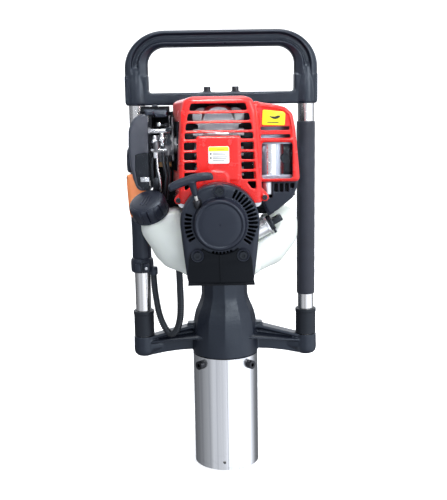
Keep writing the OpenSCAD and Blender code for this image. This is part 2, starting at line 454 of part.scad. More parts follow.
// ---------- throttle handle ----------
module throttle_body() color([0.11, 0.11, 0.12]) difference() {
  union() {
    cz(16.6, 304, 326, -tx);
    cz(17.4, 308, 318, -tx);
    bx(-tx + 3, -tx + 12, -21, -10, 306, 320);
    cz(14.6, 326, 392, -tx);
    cz(14.6, 392, 398, -tx, 0, 13.4);
    cz(13.4, 398, 456, -tx);
    bx(-tx - 17, -tx + 15, -20, 16, 456, 492);
    cz(16, 490, 496, -tx);
    cz(6.5, 300, 312, -108, -3);
    for (s = [-1, 1]) {
      bx(-tx + s * 7.5 - 1.3, -tx + s * 7.5 + 1.3, -20.8, -8, 444, 457);
      bx(-tx + s * 7.6 - 1.3, -tx + s * 7.6 + 1.3, 8, 22, 446, 457);
    }
    cx(2, -tx - 16, -tx + 14, -18, 449);
    cx(1.8, -tx - 8.9, -tx + 8.9, 19.5, 451);
  }
  cz(tr + 0.1, 299, 500, -tx);
  cz(4.9, 299, 309, -108, -3);
  bx(-tx - 7.1, -tx + 5.1, -21, -15.8, 473, 488);
}
module throttle_trigger() color([0.95, 0.35, 0.08]) difference() {
  translate([-tx - 17.4, 0, 0]) rotate([90, 0, 90]) linear_extrude(32.8) polygon([[-22, 455.2], [-14.5, 455.2], [-14.5, 444], [-20, 432], [-27.4, 396], [-31, 391], [-35, 394], [-34, 410], [-29, 440], [-26, 450]]);
  bx(-tx - 12, -tx + 10, -27, -13, 385, 437);
  bx(-tx - 12, -tx + 10, -25, -13, 436, 456);
  cx(2.1, -tx - 20, -tx + 20, -18, 449);
}
module throttle_lock() color([0.1, 0.1, 0.11]) difference() {
  translate([-tx - 6, 0, 0]) rotate([90, 0, 90]) linear_extrude(12) polygon([[16.5, 455.2], [23, 454], [26, 440], [24, 412], [20, 409], [18.6, 415], [17, 440]]);
  cx(1.9, -tx - 7, -tx + 7, 19.5, 451);
}
module stop_switch() color([0.75, 0.1, 0.08]) bx(-tx - 6, -tx + 4, -23, -16, 474, 482);
cable_pts = [[-108, -3, 303], [-107.6, -4, 292], [-105.6, -7, 270], [-98, -14, 240], [-88, -20, 220], [-77.5, -25, 211], [-68.5, -30, 219], [-62.8, -36, 240], [-62, -42, 262], [-64, -47, 285], [-66, -50, 310], [-68, -51.5, 340], [-71, -52, 375], [-76, -53, 405], [-83, -58, 426], [-90, -70, 437.5], [-92.5, -90, 437.5], [-91, -106, 441], [-89.4, -117.5, 452]];
module throttle_cable() color([0.1, 0.1, 0.1]) union() {
  tube_along(spline(cable_pts, 4), 4.7, 8);
  cz(2.2, 451, 491.8, -88.8, -118.6);
}

post_sleeve();
sleeve_screws();
barrel_housing();
damper(-1);  // left_damper
damper(1);  // right_damper
side_tube(-1);  // left_tube
side_tube(1);  // right_tube
top_handle();
handle_screws();
handle_isolators();
grip_sleeve();
guide_bush();
buffer_ring();
anvil();
ram();
cylinder_liner();
drive_piston();
connecting_rod();
crank_gear();
case_bearings();
gear_case();
case_bolts();
gear_cover();
cover_screws();
clutch_drum();
clutch_shoes();
crankshaft();
engine_rod();
engine_piston();
flywheel();
crankcase();
cylinder_block();
spark_plug_cap();
ignition_coil();
fan_cover();
recoil_starter();
starter_screws();
starter_reel();
starter_rope();
starter_grip();
tank_guard();
fuel_tank();
fuel_cap();
fuel_cap_seal();
oil_cap();
oil_cap_seal();
air_cleaner_base();
air_cleaner_cover();
air_filter();
carburetor();
choke_lever();
primer_bulb();
throttle_lever();
muffler();
muffler_guard();
throttle_body();
throttle_trigger();
throttle_lock();
stop_switch();
throttle_cable();
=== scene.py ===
import math
import bpy, bmesh
from mathutils import Vector, Matrix


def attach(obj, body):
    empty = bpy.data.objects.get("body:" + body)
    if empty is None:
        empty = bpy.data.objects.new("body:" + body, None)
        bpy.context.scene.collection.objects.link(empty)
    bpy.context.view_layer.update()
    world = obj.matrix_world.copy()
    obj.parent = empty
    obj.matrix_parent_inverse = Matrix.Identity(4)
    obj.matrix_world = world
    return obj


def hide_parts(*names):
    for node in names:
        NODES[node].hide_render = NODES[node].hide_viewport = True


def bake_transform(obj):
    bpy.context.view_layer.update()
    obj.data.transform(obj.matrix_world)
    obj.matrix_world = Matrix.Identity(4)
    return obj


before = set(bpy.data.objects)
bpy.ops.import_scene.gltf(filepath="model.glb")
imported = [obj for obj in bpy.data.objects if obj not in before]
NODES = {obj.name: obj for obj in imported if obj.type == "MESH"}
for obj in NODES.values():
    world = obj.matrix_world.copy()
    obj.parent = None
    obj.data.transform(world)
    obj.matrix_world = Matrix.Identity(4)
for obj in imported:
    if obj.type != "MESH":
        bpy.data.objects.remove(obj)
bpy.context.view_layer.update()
C = bpy.context
MM = 0.001

# key dimensions in millimetres, the same as in the CAD source
EX, EZ = -4.5, 402.0
TX = 125.0
CAP_A = Vector((-0.27, -0.52, 0.81)).normalized()
CAP_B = Vector((-98.3, -117, 408.9))
OIL_A = Vector((0.87, 0, 0.49)).normalized()
OIL_B = Vector((62, -117, 391.6))
PULL_A = Vector((-0.208, -0.297, 0.932)).normalized()
EYE = Vector((-33.6, -186, 433))


# =====================================================================
# materials
# =====================================================================
class Nodes:
    def __init__(self, name):
        self.m = bpy.data.materials.new(name)
        self.m.use_nodes = True
        self.t = self.m.node_tree
        self.b = self.t.nodes["Principled BSDF"]
        self.tc = self.t.nodes.new("ShaderNodeTexCoord")

    def link(self, a, b):
        self.t.links.new(a, b)

    def coords(self, scale=(1, 1, 1), rot=(0, 0, 0)):
        mp = self.t.nodes.new("ShaderNodeMapping")
        mp.inputs["Scale"].default_value = scale
        mp.inputs["Rotation"].default_value = rot
        self.link(self.tc.outputs["Object"], mp.inputs["Vector"])
        return mp.outputs["Vector"]

    def noise(self, scale, detail=3.0, rough=0.55, vec=None, dist=0.0):
        n = self.t.nodes.new("ShaderNodeTexNoise")
        n.inputs["Scale"].default_value = scale
        n.inputs["Detail"].default_value = detail
        n.inputs["Roughness"].default_value = rough
        n.inputs["Distortion"].default_value = dist
        self.link(vec if vec is not None else self.tc.outputs["Object"], n.inputs["Vector"])
        return n.outputs["Fac"]

    def voronoi(self, scale, vec=None):
        n = self.t.nodes.new("ShaderNodeTexVoronoi")
        n.inputs["Scale"].default_value = scale
        self.link(vec if vec is not None else self.tc.outputs["Object"], n.inputs["Vector"])
        return n.outputs["Distance"]

    def ramp(self, fac, stops):
        r = self.t.nodes.new("ShaderNodeValToRGB")
        el = r.color_ramp.elements
        while len(el) < len(stops):
            el.new(0.5)
        for e, (p, c) in zip(el, stops):
            e.position = p
            e.color = (c[0], c[1], c[2], 1) if hasattr(c, "__len__") else (c, c, c, 1)
        self.link(fac, r.inputs["Fac"])
        return r.outputs["Color"]

    def maprange(self, v, a, b, c, d):
        n = self.t.nodes.new("ShaderNodeMapRange")
        for k, x in zip(("From Min", "From Max", "To Min", "To Max"), (a, b, c, d)):
            n.inputs[k].default_value = x
        self.link(v, n.inputs["Value"])
        return n.outputs["Result"]

    def mix(self, fac, a, b):
        n = self.t.nodes.new("ShaderNodeMix")
        n.data_type = "RGBA"
        self.link(fac, n.inputs[0])
        for sock, v in ((n.inputs[6], a), (n.inputs[7], b)):
            if hasattr(v, "links") or isinstance(v, bpy.types.NodeSocket):
                self.link(v, sock)
            else:
                sock.default_value = (v[0], v[1], v[2], 1)
        return n.outputs[2]

    def math(self, op, a, b=None):
        n = self.t.nodes.new("ShaderNodeMath")
        n.operation = op
        for i, v in enumerate((a, b)):
            if v is None:
                continue
            if isinstance(v, (int, float)):
                n.inputs[i].default_value = v
            else:
                self.link(v, n.inputs[i])
        return n.outputs[0]

    def bump(self, *layers):
        normal = None
        for h, strength, dist in layers:
            n = self.t.nodes.new("ShaderNodeBump")
            n.inputs["Strength"].default_value = strength
            n.inputs["Distance"].default_value = dist
            self.link(h, n.inputs["Height"])
            if normal is not None:
                self.link(normal, n.inputs["Normal"])
            normal = n.outputs["Normal"]
        self.link(normal, self.b.inputs["Normal"])

    def pointy(self):
        g = self.t.nodes.new("ShaderNodeNewGeometry")
        return g.outputs["Pointiness"]

    def set(self, **k):
        for a, v in k.items():
            s = self.b.inputs[a.replace("_", " ")]
            if isinstance(v, bpy.types.NodeSocket):
                self.link(v, s)
            elif hasattr(v, "__len__"):
                s.default_value = (v[0], v[1], v[2], 1) if len(v) == 3 and len(s.default_value) == 4 else v
            else:
                s.default_value = v


def plastic(name, c, rough=0.45, tex=1400, bump=0.18, vary=0.12, spec=0.5, wear=0.0, coat=0.0, rvar=0.06, coarse=0.0):
    """moulded plastic or paint: fine surface texture, slow colour change, lighter worn edges"""
    n = Nodes(name)
    big = n.noise(14, 3)
    lo = tuple(x * (1 - vary) for x in c)
    hi = tuple(min(1, x * (1 + vary)) for x in c)
    col = n.ramp(big, [(0.3, lo), (0.7, hi)])
    fine = n.noise(tex, 2, 0.6)
    if wear:
        p = n.maprange(n.pointy(), 0.52, 0.60, 0, 1)
        scr = n.maprange(n.noise(90, 4, 0.7), 0.45, 0.7, 0, 1)
        col = n.mix(n.math("MULTIPLY", n.math("MULTIPLY", p, scr), wear), col, tuple(min(1, x * 3 + 0.06) for x in c))
    n.set(Base_Color=col, Roughness=n.maprange(n.noise(60, 4), 0.3, 0.7, rough - rvar, rough + rvar), Specular_IOR_Level=spec)
    # painted reflection: dark plastics get a bluish specular tint, so their highlights read bluish as if lit by bluish
    # light
    if max(c) < 0.06:
        n.set(Specular_Tint=(0.80, 0.90, 1.0))
    if coat:
        n.set(Coat_Weight=coat, Coat_Roughness=0.08)
    layers = [(fine, bump, 0.0003)]
    if coarse:
        layers.append((n.noise(260, 3), coarse, 0.0006))
    n.bump(*layers)
    return n.m


def metal(name, c, rough=0.3, grain=(1, 1, 1), gscale=120, bump=0.1, vary=0.06, rvar=0.07, aniso=0.0, spots=0.0, dist=0.0002):
    n = Nodes(name)
    v = n.coords(grain)
    g = n.noise(gscale, 4, 0.65, v)
    col = n.ramp(n.noise(9, 4), [(0.3, tuple(x * (1 - vary) for x in c)), (0.7, tuple(min(1, x * (1 + vary)) for x in c))])
    if spots:
        s = n.maprange(n.noise(160, 5, 0.7), 0.6, 0.75, 0, spots)
        col = n.mix(s, col, (0.12, 0.11, 0.10))
    n.set(Base_Color=col, Metallic=1.0, Roughness=n.maprange(g, 0.3, 0.7, rough - rvar, rough + rvar), Anisotropic=aniso)
    n.bump((g, bump, dist))
    return n.m


M = {}
# textured black powder coat on the castings: orange-peel grain with a slight blue cast
M["cast"] = plastic("cast_powder_coat", (0.0075, 0.0100, 0.0185), 0.38, 700, 0.42, 0.10, 0.55, wear=0.10, coarse=0.12)
M["cast_soft"] = plastic("cast_satin", (0.0085, 0.0110, 0.0195), 0.33, 1100, 0.22, 0.10, 0.5, wear=0.10)
M["black"] = plastic("black_plastic", (0.0098, 0.0115, 0.0215), 0.36, 1300, 0.16, 0.10, 0.5, wear=0.06)
M["black_shiny"] = plastic("black_plastic_satin", (0.005, 0.0055, 0.008), 0.24, 900, 0.10, 0.15, 0.5)
M["black_dead"] = plastic("black_plastic_dark", (0.004, 0.004, 0.005), 0.55, 900, 0.12, 0.2, 0.15)
M["grey"] = plastic("grey_plastic", (0.044, 0.049, 0.066), 0.42, 1500, 0.16, 0.08, 0.5, wear=0.05)
M["rubber"] = plastic("rubber", (0.009, 0.010, 0.014), 0.52, 900, 0.2, 0.12, 0.4, coarse=0.06)
M["hose"] = plastic("hose_plastic", (0.010, 0.0105, 0.013), 0.34, 900, 0.1, 0.12, 0.5)
M["orange"] = plastic("orange_plastic", (0.98, 0.30, 0.10), 0.36, 1300, 0.12, 0.05, 0.5, coat=0.15)
M["bulb"] = plastic("bulb_rubber", (0.35, 0.2, 0.09), 0.4, 800, 0.1, 0.15)
M["yellow"] = plastic("label_yellow", (0.93, 0.76, 0.01), 0.38, 1800, 0.04, 0.02, 0.4)
M["white"] = plastic("label_white", (0.86, 0.86, 0.84), 0.40, 1800, 0.04, 0.03, 0.4)
M["ink"] = plastic("label_ink", (0.02, 0.02, 0.02), 0.45, 1800, 0.05, 0.1, 0.4)
M["ink_soft"] = plastic("label_ink_soft", (0.30, 0.30, 0.31), 0.45, 1800, 0.05, 0.1, 0.4)
M["ink_amber"] = plastic("label_ink_amber", (0.60, 0.45, 0.02), 0.45, 1800, 0.05, 0.1, 0.4)
M["screw"] = metal("black_oxide_steel", (0.055, 0.056, 0.062), 0.33, gscale=500, bump=0.08, vary=0.2)
M["steel"] = metal("machined_steel", (0.50, 0.50, 0.52), 0.28, gscale=400, bump=0.06, vary=0.06)
M["zinc"] = metal("zinc_plate", (0.70, 0.71, 0.73), 0.26, gscale=300, bump=0.08, vary=0.05)
M["alu"] = metal("cast_aluminium", (0.66, 0.66, 0.685), 0.34, gscale=420, bump=0.10, vary=0.07, spots=0.0, dist=0.0004)
M["alu_bright"] = metal("bright_aluminium", (0.80, 0.80, 0.82), 0.26, gscale=160, bump=0.03, vary=0.05)
M["brass"] = metal("bronze_bush", (0.72, 0.50, 0.24), 0.3, gscale=400, bump=0.06, vary=0.1)
M["heat"] = metal("muffler_steel", (0.38, 0.41, 0.48), 0.32, gscale=160, bump=0.05, vary=0.12)


def make_red():
    n = Nodes("red_gloss_plastic")
    big = n.noise(11, 3)
    col = n.ramp(big, [(0.3, (0.70, 0.0075, 0.0055)), (0.7, (0.80, 0.0115, 0.0075))])
    dust = n.maprange(n.noise(420, 5, 0.7), 0.62, 0.74, 0, 0.10)
    col = n.mix(dust, col, (0.85, 0.25, 0.22))
    n.set(Base_Color=col, Roughness=n.maprange(n.noise(70, 4), 0.3, 0.7, 0.20, 0.30), Specular_IOR_Level=0.40, Coat_Weight=0.45, Coat_Roughness=0.10, Sheen_Weight=0.12, Sheen_Roughness=0.35)
    n.bump((n.noise(180, 2), 0.05, 0.0005), (n.noise(1500, 2), 0.04, 0.0002))
    return n.m


def make_tank():
    n = Nodes("translucent_tank")
    big = n.noise(9, 3)
    col = n.ramp(big, [(0.3, (0.76, 0.81, 0.75)), (0.7, (0.82, 0.86, 0.81))])
    n.set(Base_Color=col, Roughness=n.maprange(n.noise(80, 3), 0.3, 0.7, 0.30, 0.42), Specular_IOR_Level=0.45,
          Subsurface_Weight=0.22, Subsurface_Radius=(0.016, 0.018, 0.013), Subsurface_Scale=0.6)
    n.bump((n.noise(900, 2), 0.08, 0.0003), (n.noise(35, 2), 0.10, 0.0015))
    return n.m


def make_foam():
    n = Nodes("foam_grip")
    cell = n.voronoi(1500)
    col = n.ramp(n.noise(40, 4), [(0.3, (0.009, 0.0115, 0.022)), (0.7, (0.013, 0.0165, 0.030))])
    n.set(Base_Color=col, Roughness=0.6, Specular_IOR_Level=0.5, Sheen_Weight=0.15, Sheen_Roughness=0.5)
    n.bump((cell, 0.35, 0.0004), (n.noise(300, 4), 0.25, 0.0005))
    return n.m


def make_sleeve():
    """satin drawn steel: lengthwise polish, a weld line, faint handling marks near the mouth"""
    n = Nodes("drawn_steel_sleeve")
    streak = n.noise(1.0, 4, 0.7, n.coords((900, 900, 14)))
    hoop = n.noise(1.0, 4, 0.7, n.coords((12, 12, 1400)))
    sx = n.t.nodes.new("ShaderNodeSeparateXYZ")
    n.link(n.tc.outputs["Object"], sx.inputs[0])
    x, y, z = sx.outputs
    front = n.math("LESS_THAN", y, -0.04)
    seam = n.math("MULTIPLY", n.math("LESS_THAN", n.math("ABSOLUTE", n.math("SUBTRACT", x, 0.0022)), 0.00035), front)
    bands = n.noise(1.0, 2, 0.6, n.coords((170, 170, 1.5)))
    col = n.ramp(bands, [(0.35, (0.74, 0.745, 0.76)), (0.5, (0.85, 0.85, 0.86)), (0.65, (0.90, 0.90, 0.905))])
    col = n.mix(n.math("MULTIPLY", seam, 0.75), col, (0.22, 0.22, 0.23))
    rim = n.maprange(z, 0.0, 0.03, 0.35, 0.0)
    scuff = n.math("MULTIPLY", n.maprange(n.noise(60, 5, 0.7, n.coords((1, 1, 3))), 0.52, 0.7, 0, 1), rim)
    col = n.mix(scuff, col, (0.36, 0.35, 0.34))
    n.set(Base_Color=col, Metallic=1.0, Roughness=n.maprange(n.math("ADD", n.math("MULTIPLY", streak, 0.7), n.math("MULTIPLY", hoop, 0.3)), 0.3, 0.7, 0.15, 0.26))
    n.bump((streak, 0.05, 0.0001), (hoop, 0.03, 0.0001))
    return n.m


def make_tube():
    n = Nodes("stainless_tube")
    streak = n.noise(1.0, 4, 0.7, n.coords((1500, 1500, 10)))
    col = n.ramp(n.noise(1.0, 2, 0.6, n.coords((260, 260, 2))), [(0.35, (0.66, 0.64, 0.62)), (0.65, (0.84, 0.83, 0.82))])
    n.set(Base_Color=col, Metallic=1.0, Roughness=n.maprange(streak, 0.3, 0.7, 0.16, 0.30))
    n.bump((streak, 0.06, 0.0001))
    return n.m


def make_rope():
    n = Nodes("braided_rope")
    w = n.t.nodes.new("ShaderNodeTexWave")
    w.inputs["Scale"].default_value = 320
    w.inputs["Distortion"].default_value = 1.5
    n.link(n.tc.outputs["Object"], w.inputs["Vector"])
    col = n.ramp(w.outputs["Fac"], [(0.2, (0.45, 0.44, 0.42)), (0.7, (0.86, 0.86, 0.84))])
    n.set(Base_Color=col, Roughness=0.75, Sheen_Weight=0.2)
    n.bump((w.outputs["Fac"], 0.6, 0.0006))
    return n.m


M["carb"] = metal("carburettor_casting", (0.14, 0.14, 0.15), 0.42, gscale=650, bump=0.2, vary=0.1, spots=0.1, dist=0.0004)
M["alu_smooth"] = metal("rocker_cover_aluminium", (0.93, 0.94, 0.96), 0.33, gscale=60, bump=0.015, vary=0.03, rvar=0.02, dist=0.0001)
M["black_deep"] = plastic("deep_black_plastic", (0.0040, 0.0044, 0.0060), 0.44, 1300, 0.12, 0.1, 0.16)
M["alu_block"] = metal("cylinder_casting", (0.30, 0.30, 0.32), 0.40, gscale=300, bump=0.04, vary=0.08, dist=0.0002)
M["heat_dark"] = metal("muffler_side_steel", (0.13, 0.145, 0.18), 0.36, gscale=160, bump=0.04, vary=0.12)
M["red"] = make_red()
M["tank"] = make_tank()
M["foam"] = make_foam()
M["sleeve"] = make_sleeve()
M["tube"] = make_tube()
M["rope"] = make_rope()


# =====================================================================
# mesh helpers, all in millimetres until link()
# =====================================================================
def link(name, me, mat, body, *replaced, sharp=32, smooth=True):
    """puts a finished millimetre mesh into the scene in metres, riding on a body"""
    me.name = name
    ob = bpy.data.objects.new(name, me)
    C.scene.collection.objects.link(ob)
    me.transform(Matrix.Scale(MM, 4))
    me.materials.clear()
    me.materials.append(M[mat])
    for p in me.polygons:
        p.use_smooth = smooth
        p.material_index = 0
    if smooth and sharp:
        me.set_sharp_from_angle(angle=math.radians(sharp))
    if body:
        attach(ob, body)
    if replaced:
        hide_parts(*replaced)
    return ob


def me_from(verts, faces):
    me = bpy.data.meshes.new("m")
    me.from_pydata([tuple(v) for v in verts], [], faces)
    me.validate()
    me.update()
    return me


def tidy(me, dist=0.004):
    bm = bmesh.new()
    bm.from_mesh(me)
    bmesh.ops.remove_doubles(bm, verts=bm.verts, dist=dist)
    bmesh.ops.dissolve_degenerate(bm, edges=bm.edges, dist=0.0005)
    bmesh.ops.recalc_face_normals(bm, faces=bm.faces)
    bm.to_mesh(me)
    bm.free()
    return me


def evaluated(me, *mods):
    """applies modifiers, given as (type, {settings}), to a mesh and returns the new mesh"""
    ob = bpy.data.objects.new("tmp", me)
    C.scene.collection.objects.link(ob)
    for t, k in mods:
        m = ob.modifiers.new(t, t)
        for a, v in k.items():
            setattr(m, a, v)
    C.view_layer.update()
    dg = C.evaluated_depsgraph_get()
    out = bpy.data.meshes.new_from_object(ob.evaluated_get(dg))
    bpy.data.objects.remove(ob)
    return out


def area2(p):
    return sum(p[i][0] * p[(i + 1) % len(p)][1] - p[(i + 1) % len(p)][0] * p[i][1] for i in range(len(p))) / 2


def ccw(p):
    return list(p) if area2(p) > 0 else list(reversed(p))


def fillet(pts, r, seg=6):
    """rounds the corners of a polygon: r is one radius or one for each corner"""
    n = len(pts)
    rs = [r] * n if isinstance(r, (int, float)) else list(r)
    out = []
    for i in range(n):
        p, a, b = Vector(pts[i]), Vector(pts[i - 1]), Vector(pts[(i + 1) % n])
        u, v = (a - p), (b - p)
        lu, lv = u.length, v.length
        if rs[i] <= 0 or lu < 1e-6 or lv < 1e-6:
            out.append(tuple(p))
            continue
        u, v = u / lu, v / lv
        ang = math.acos(max(-1, min(1, u.dot(v))))
        if ang > math.pi - 0.02:
            out.append(tuple(p))
            continue
        d = min(rs[i] / math.tan(ang / 2), lu * 0.48, lv * 0.48)
        rr = d * math.tan(ang / 2)
        c = p + (u + v).normalized() * (rr / math.sin(ang / 2))
        s, e = p + u * d - c, p + v * d - c
        a0, a1 = math.atan2(s.y, s.x), math.atan2(e.y, e.x)
        da = (a1 - a0 + math.pi) % (2 * math.pi) - math.pi
        k = max(2, int(seg))
        for j in range(k + 1):
            t = a0 + da * j / k
            out.append((c.x + rr * math.cos(t), c.y + rr * math.sin(t)))
    return out


def resample(p, step):
    """adds points along long edges, so that rings keep even quads"""
    out = []
    n = len(p)
    for i in range(n):
        a, b = Vector(p[i]), Vector(p[(i + 1) % n])
        k = max(1, int(math.ceil((b - a).length / step)))
        for j in range(k):
            out.append(tuple(a.lerp(b, j / k)))
    return out


def inset(p, d):
    """moves each point of a counter-clockwise outline inwards by d"""
    n = len(p)
    out = []
    for i in range(n):
        a, b, c = Vector(p[i - 1]), Vector(p[i]), Vector(p[(i + 1) % n])
        e1, e2 = (b - a), (c - b)
        e1 = e1.normalized() if e1.length > 1e-9 else e2.normalized()
        e2 = e2.normalized() if e2.length > 1e-9 else e1
        n1, n2 = Vector((-e1.y, e1.x)), Vector((-e2.y, e2.x))
        m = n1 + n2
        m = m.normalized() if m.length > 1e-6 else n1
        k = max(0.5, m.dot(n1))
        out.append(tuple(b + m * (d / k)))
    return out


def circle(cx, cz, r, n=64, a0=0, a1=360):
    full = abs(a1 - a0) >= 360
    return [(cx + r * math.cos(math.radians(a0 + (a1 - a0) * i / (n if full else n - 1))),
             cz + r * math.sin(math.radians(a0 + (a1 - a0) * i / (n if full else n - 1)))) for i in range(n)]


def XZ(x, z, y):
    return (x, y, z)


def XY(x, y, z):
    return (x, y, z)


def YZ(y, z, x):
    return (x, y, z)


def plate(loops, d0, d1, bevel=0.8, res=3, plane="XZ"):
    """a flat plate with holes and rounded edges; the first loop is the outside. d0..d1 is its place across"""
    cu = bpy.data.curves.new("p", "CURVE")
    cu.dimensions = "2D"
    cu.fill_mode = "BOTH"
    depth = abs(d1 - d0)
    cu.extrude = max(0.0, depth / 2 - bevel)
    cu.bevel_depth = bevel
    cu.bevel_resolution = res
    cu.offset = -bevel
    for i, lp in enumerate(loops):
        lp = ccw(lp) if i == 0 else list(reversed(ccw(lp)))
        sp = cu.splines.new("POLY")
        sp.points.add(len(lp) - 1)
        for k, q in enumerate(lp):
            sp.points[k].co = (q[0], q[1], 0, 1)
        sp.use_cyclic_u = True
    ob = bpy.data.objects.new("p", cu)
    C.scene.collection.objects.link(ob)
    C.view_layer.update()
    me = bpy.data.meshes.new_from_object(ob.evaluated_get(C.evaluated_depsgraph_get()))
    bpy.data.objects.remove(ob)
    mid = (d0 + d1) / 2
    if plane == "XZ":
        mat = Matrix(((1, 0, 0, 0), (0, 0, -1, mid), (0, 1, 0, 0), (0, 0, 0, 1)))
    elif plane == "XY":
        mat = Matrix(((1, 0, 0, 0), (0, 1, 0, 0), (0, 0, 1, mid), (0, 0, 0, 1)))
    else:  # YZ: x of the loop is y, y of the loop is z
        mat = Matrix(((0, 0, 1, mid), (1, 0, 0, 0), (0, 1, 0, 0), (0, 0, 0, 1)))
    me.transform(mat)
    return tidy(me)


def loft(rings, cap0=True, cap1=True, closed=True):
    """joins rings with the same number of points"""
    n = len(rings[0])
    verts = [p for r in rings for p in r]
    faces = []
    for i in range(len(rings) - 1):
        for j in range(n if closed else n - 1):
            k = (j + 1) % n
            faces.append((i * n + j, i * n + k, (i + 1) * n + k, (i + 1) * n + j))
    if cap0:
        faces.append(tuple(range(n - 1, -1, -1)))
    if cap1:
        faces.append(tuple((len(rings) - 1) * n + j for j in range(n)))
    return tidy(me_from(verts, faces))


def block(outline, y0, y1, r, flare=0.0, seg=5, back_r=0.0):
    """a solid block with a rounded front edge: y0 is the front, y1 the back"""
    o = ccw(outline)
    rings = []
    for k in range(seg + 1):
        a = math.pi / 2 * k / seg
        rings.append([XZ(x, z, y0 + r - r * math.cos(a)) for x, z in inset(o, r * (1 - math.sin(a)))])
    rings.append([XZ(x, z, y1 - back_r) for x, z in inset(o, -flare)])
    if back_r:
        for k in range(1, seg + 1):
            a = math.pi / 2 * k / seg
            rings.append([XZ(x, z, y1 - back_r + back_r * math.sin(a)) for x, z in inset(o, -flare + back_r * (1 - math.cos(a)))])
    return loft(rings)


def prism(outline, y0, y1):
    o = ccw(outline)
    return loft([[XZ(x, z, y0) for x, z in o], [XZ(x, z, y1) for x, z in o]])


def lathe(profile, origin=(0, 0, 0), axis=(0, 0, 1), n=72, warp=None, closed=False):
    """turns (r, h) points about an axis; warp(angle, r, h) may change r"""
    q = Vector((0, 0, 1)).rotation_difference(Vector(axis).normalized())
    o = Vector(origin)
    rings = []
    for r, h in profile:
        ring = []
        for j in range(n):
            t = 2 * math.pi * j / n
            rr = warp(t, r, h) if warp else r
            ring.append(tuple(o + q @ Vector((rr * math.cos(t), rr * math.sin(t), h))))
        rings.append(ring)
    return loft(rings)


def box_mesh(x0, x1, y0, y1, z0, z1, b=0.6):
    me = loft([[(x0, y0, z0), (x1, y0, z0), (x1, y1, z0), (x0, y1, z0)], [(x0, y0, z1), (x1, y0, z1), (x1, y1, z1), (x0, y1, z1)]])
    return evaluated(me, ("BEVEL", dict(width=b, segments=2))) if b else me


def joined(*mes):
    bm = bmesh.new()
    for m in mes:
        bm.from_mesh(m)
    out = bpy.data.meshes.new("j")
    bm.to_mesh(out)
    bm.free()
    return out


def boolean(me, cutters, op="DIFFERENCE"):
    """cuts a joined set of closed cutters out of a closed mesh"""
    cut = bpy.data.objects.new("cut", joined(*cutters))
    C.scene.collection.objects.link(cut)
    out = evaluated(me, ("BOOLEAN", dict(operation=op, object=cut, solver="EXACT", use_self=True)))
    bpy.data.objects.remove(cut)
    return tidy(out)


def bevelled(me, w=0.6, seg=2, angle=40):
    return evaluated(me, ("BEVEL", dict(width=w, segments=seg, limit_method="ANGLE", angle_limit=math.radians(angle), use_clamp_overlap=True, miter_outer="MITER_ARC")))


def fused(me, voxel=1.2, iters=6, factor=0.5, ratio=1.0):
    """one moulding: voxel remesh, then smoothing, so that the parts run into each other with fillets"""
    mods = [("REMESH", dict(mode="VOXEL", voxel_size=voxel, adaptivity=0.0)), ("SMOOTH", dict(iterations=iters, factor=factor))]
    if ratio < 1:
        mods.append(("DECIMATE", dict(ratio=ratio)))
    return evaluated(me, *mods)


def seg_dist(q, a, b):
    ab = (b[0] - a[0], b[1] - a[1])
    L = ab[0] ** 2 + ab[1] ** 2
    t = 0 if L < 1e-12 else max(0, min(1, ((q[0] - a[0]) * ab[0] + (q[1] - a[1]) * ab[1]) / L))
    return math.hypot(q[0] - a[0] - t * ab[0], q[1] - a[1] - t * ab[1])


def shrink(p, d):
    """an outline moved inwards, without the loops that tight corners would leave"""
    p = ccw(p)
    out = []
    for q in inset(p, d):
        if min(seg_dist(q, p[i - 1], p[i]) for i in range(len(p))) > d * 0.97:
            out.append(q)
    return out


def block2(outline, y0, y1, r, skew, seg=6):
    """like block, but skew(x, z, t) moves each point as the wall runs from the front (t=0) to the back (t=1)"""
    o = ccw(outline)
    rings = []
    for k in range(seg + 1):
        a = math.pi / 2 * k / seg
        y = y0 + r - r * math.cos(a)
        rings.append([XZ(*skew(x, z, (y - y0) / (y1 - y0)), y) for x, z in inset(o, r * (1 - math.sin(a)))])
    for k in range(1, 5):
        y = y0 + r + (y1 - y0 - r) * k / 4
        rings.append([XZ(*skew(x, z, (y - y0) / (y1 - y0)), y) for x, z in o])
    return loft(rings)


def spline(pts, n=10):
    P = [Vector(p) for p in pts]
    P = [2 * P[0] - P[1]] + P + [2 * P[-1] - P[-2]]
    out = []
    for i in range(1, len(P) - 2):
        for k in range(n):
            t = k / n
            a, b, c, d = P[i - 1], P[i], P[i + 1], P[i + 2]
            out.append(0.5 * ((2 * b) + (c - a) * t + (2 * a - 5 * b + 4 * c - d) * t * t + (3 * b - a - 3 * c + d) * t ** 3))
    out.append(P[-2])
    return out


def even(path, step):
    """resamples a path at even steps"""
    out, d = [path[0].copy()], 0.0
    for a, b in zip(path, path[1:]):
        L = (b - a).length
        while d + L >= step and L > 1e-9:
            t = (step - d) / L
            a = a.lerp(b, t)
            out.append(a.copy())
            L = (b - a).length
            d = 0.0
        d += L
    return out


def sweep(path, radius, sides=16, section=None, up=(0.1, 1, 0.2)):
    """a tube along a path; radius is a number or f(i); section is a list of 2D points scaled by radius"""
    P = [Vector(p) for p in path]
    n = len(P)
    T = [(P[min(i + 1, n - 1)] - P[max(i - 1, 0)]).normalized() for i in range(n)]
    u = T[0].cross(Vector(up)).normalized()
    sec = section or [(math.cos(2 * math.pi * k / sides), math.sin(2 * math.pi * k / sides)) for k in range(sides)]
    rings = []
    for i in range(n):
        u = (u - T[i] * u.dot(T[i])).normalized()
        v = T[i].cross(u)
        r = radius(i) if callable(radius) else radius
        rings.append([tuple(P[i] + u * (r * a) + v * (r * b)) for a, b in sec])
    return loft(rings)


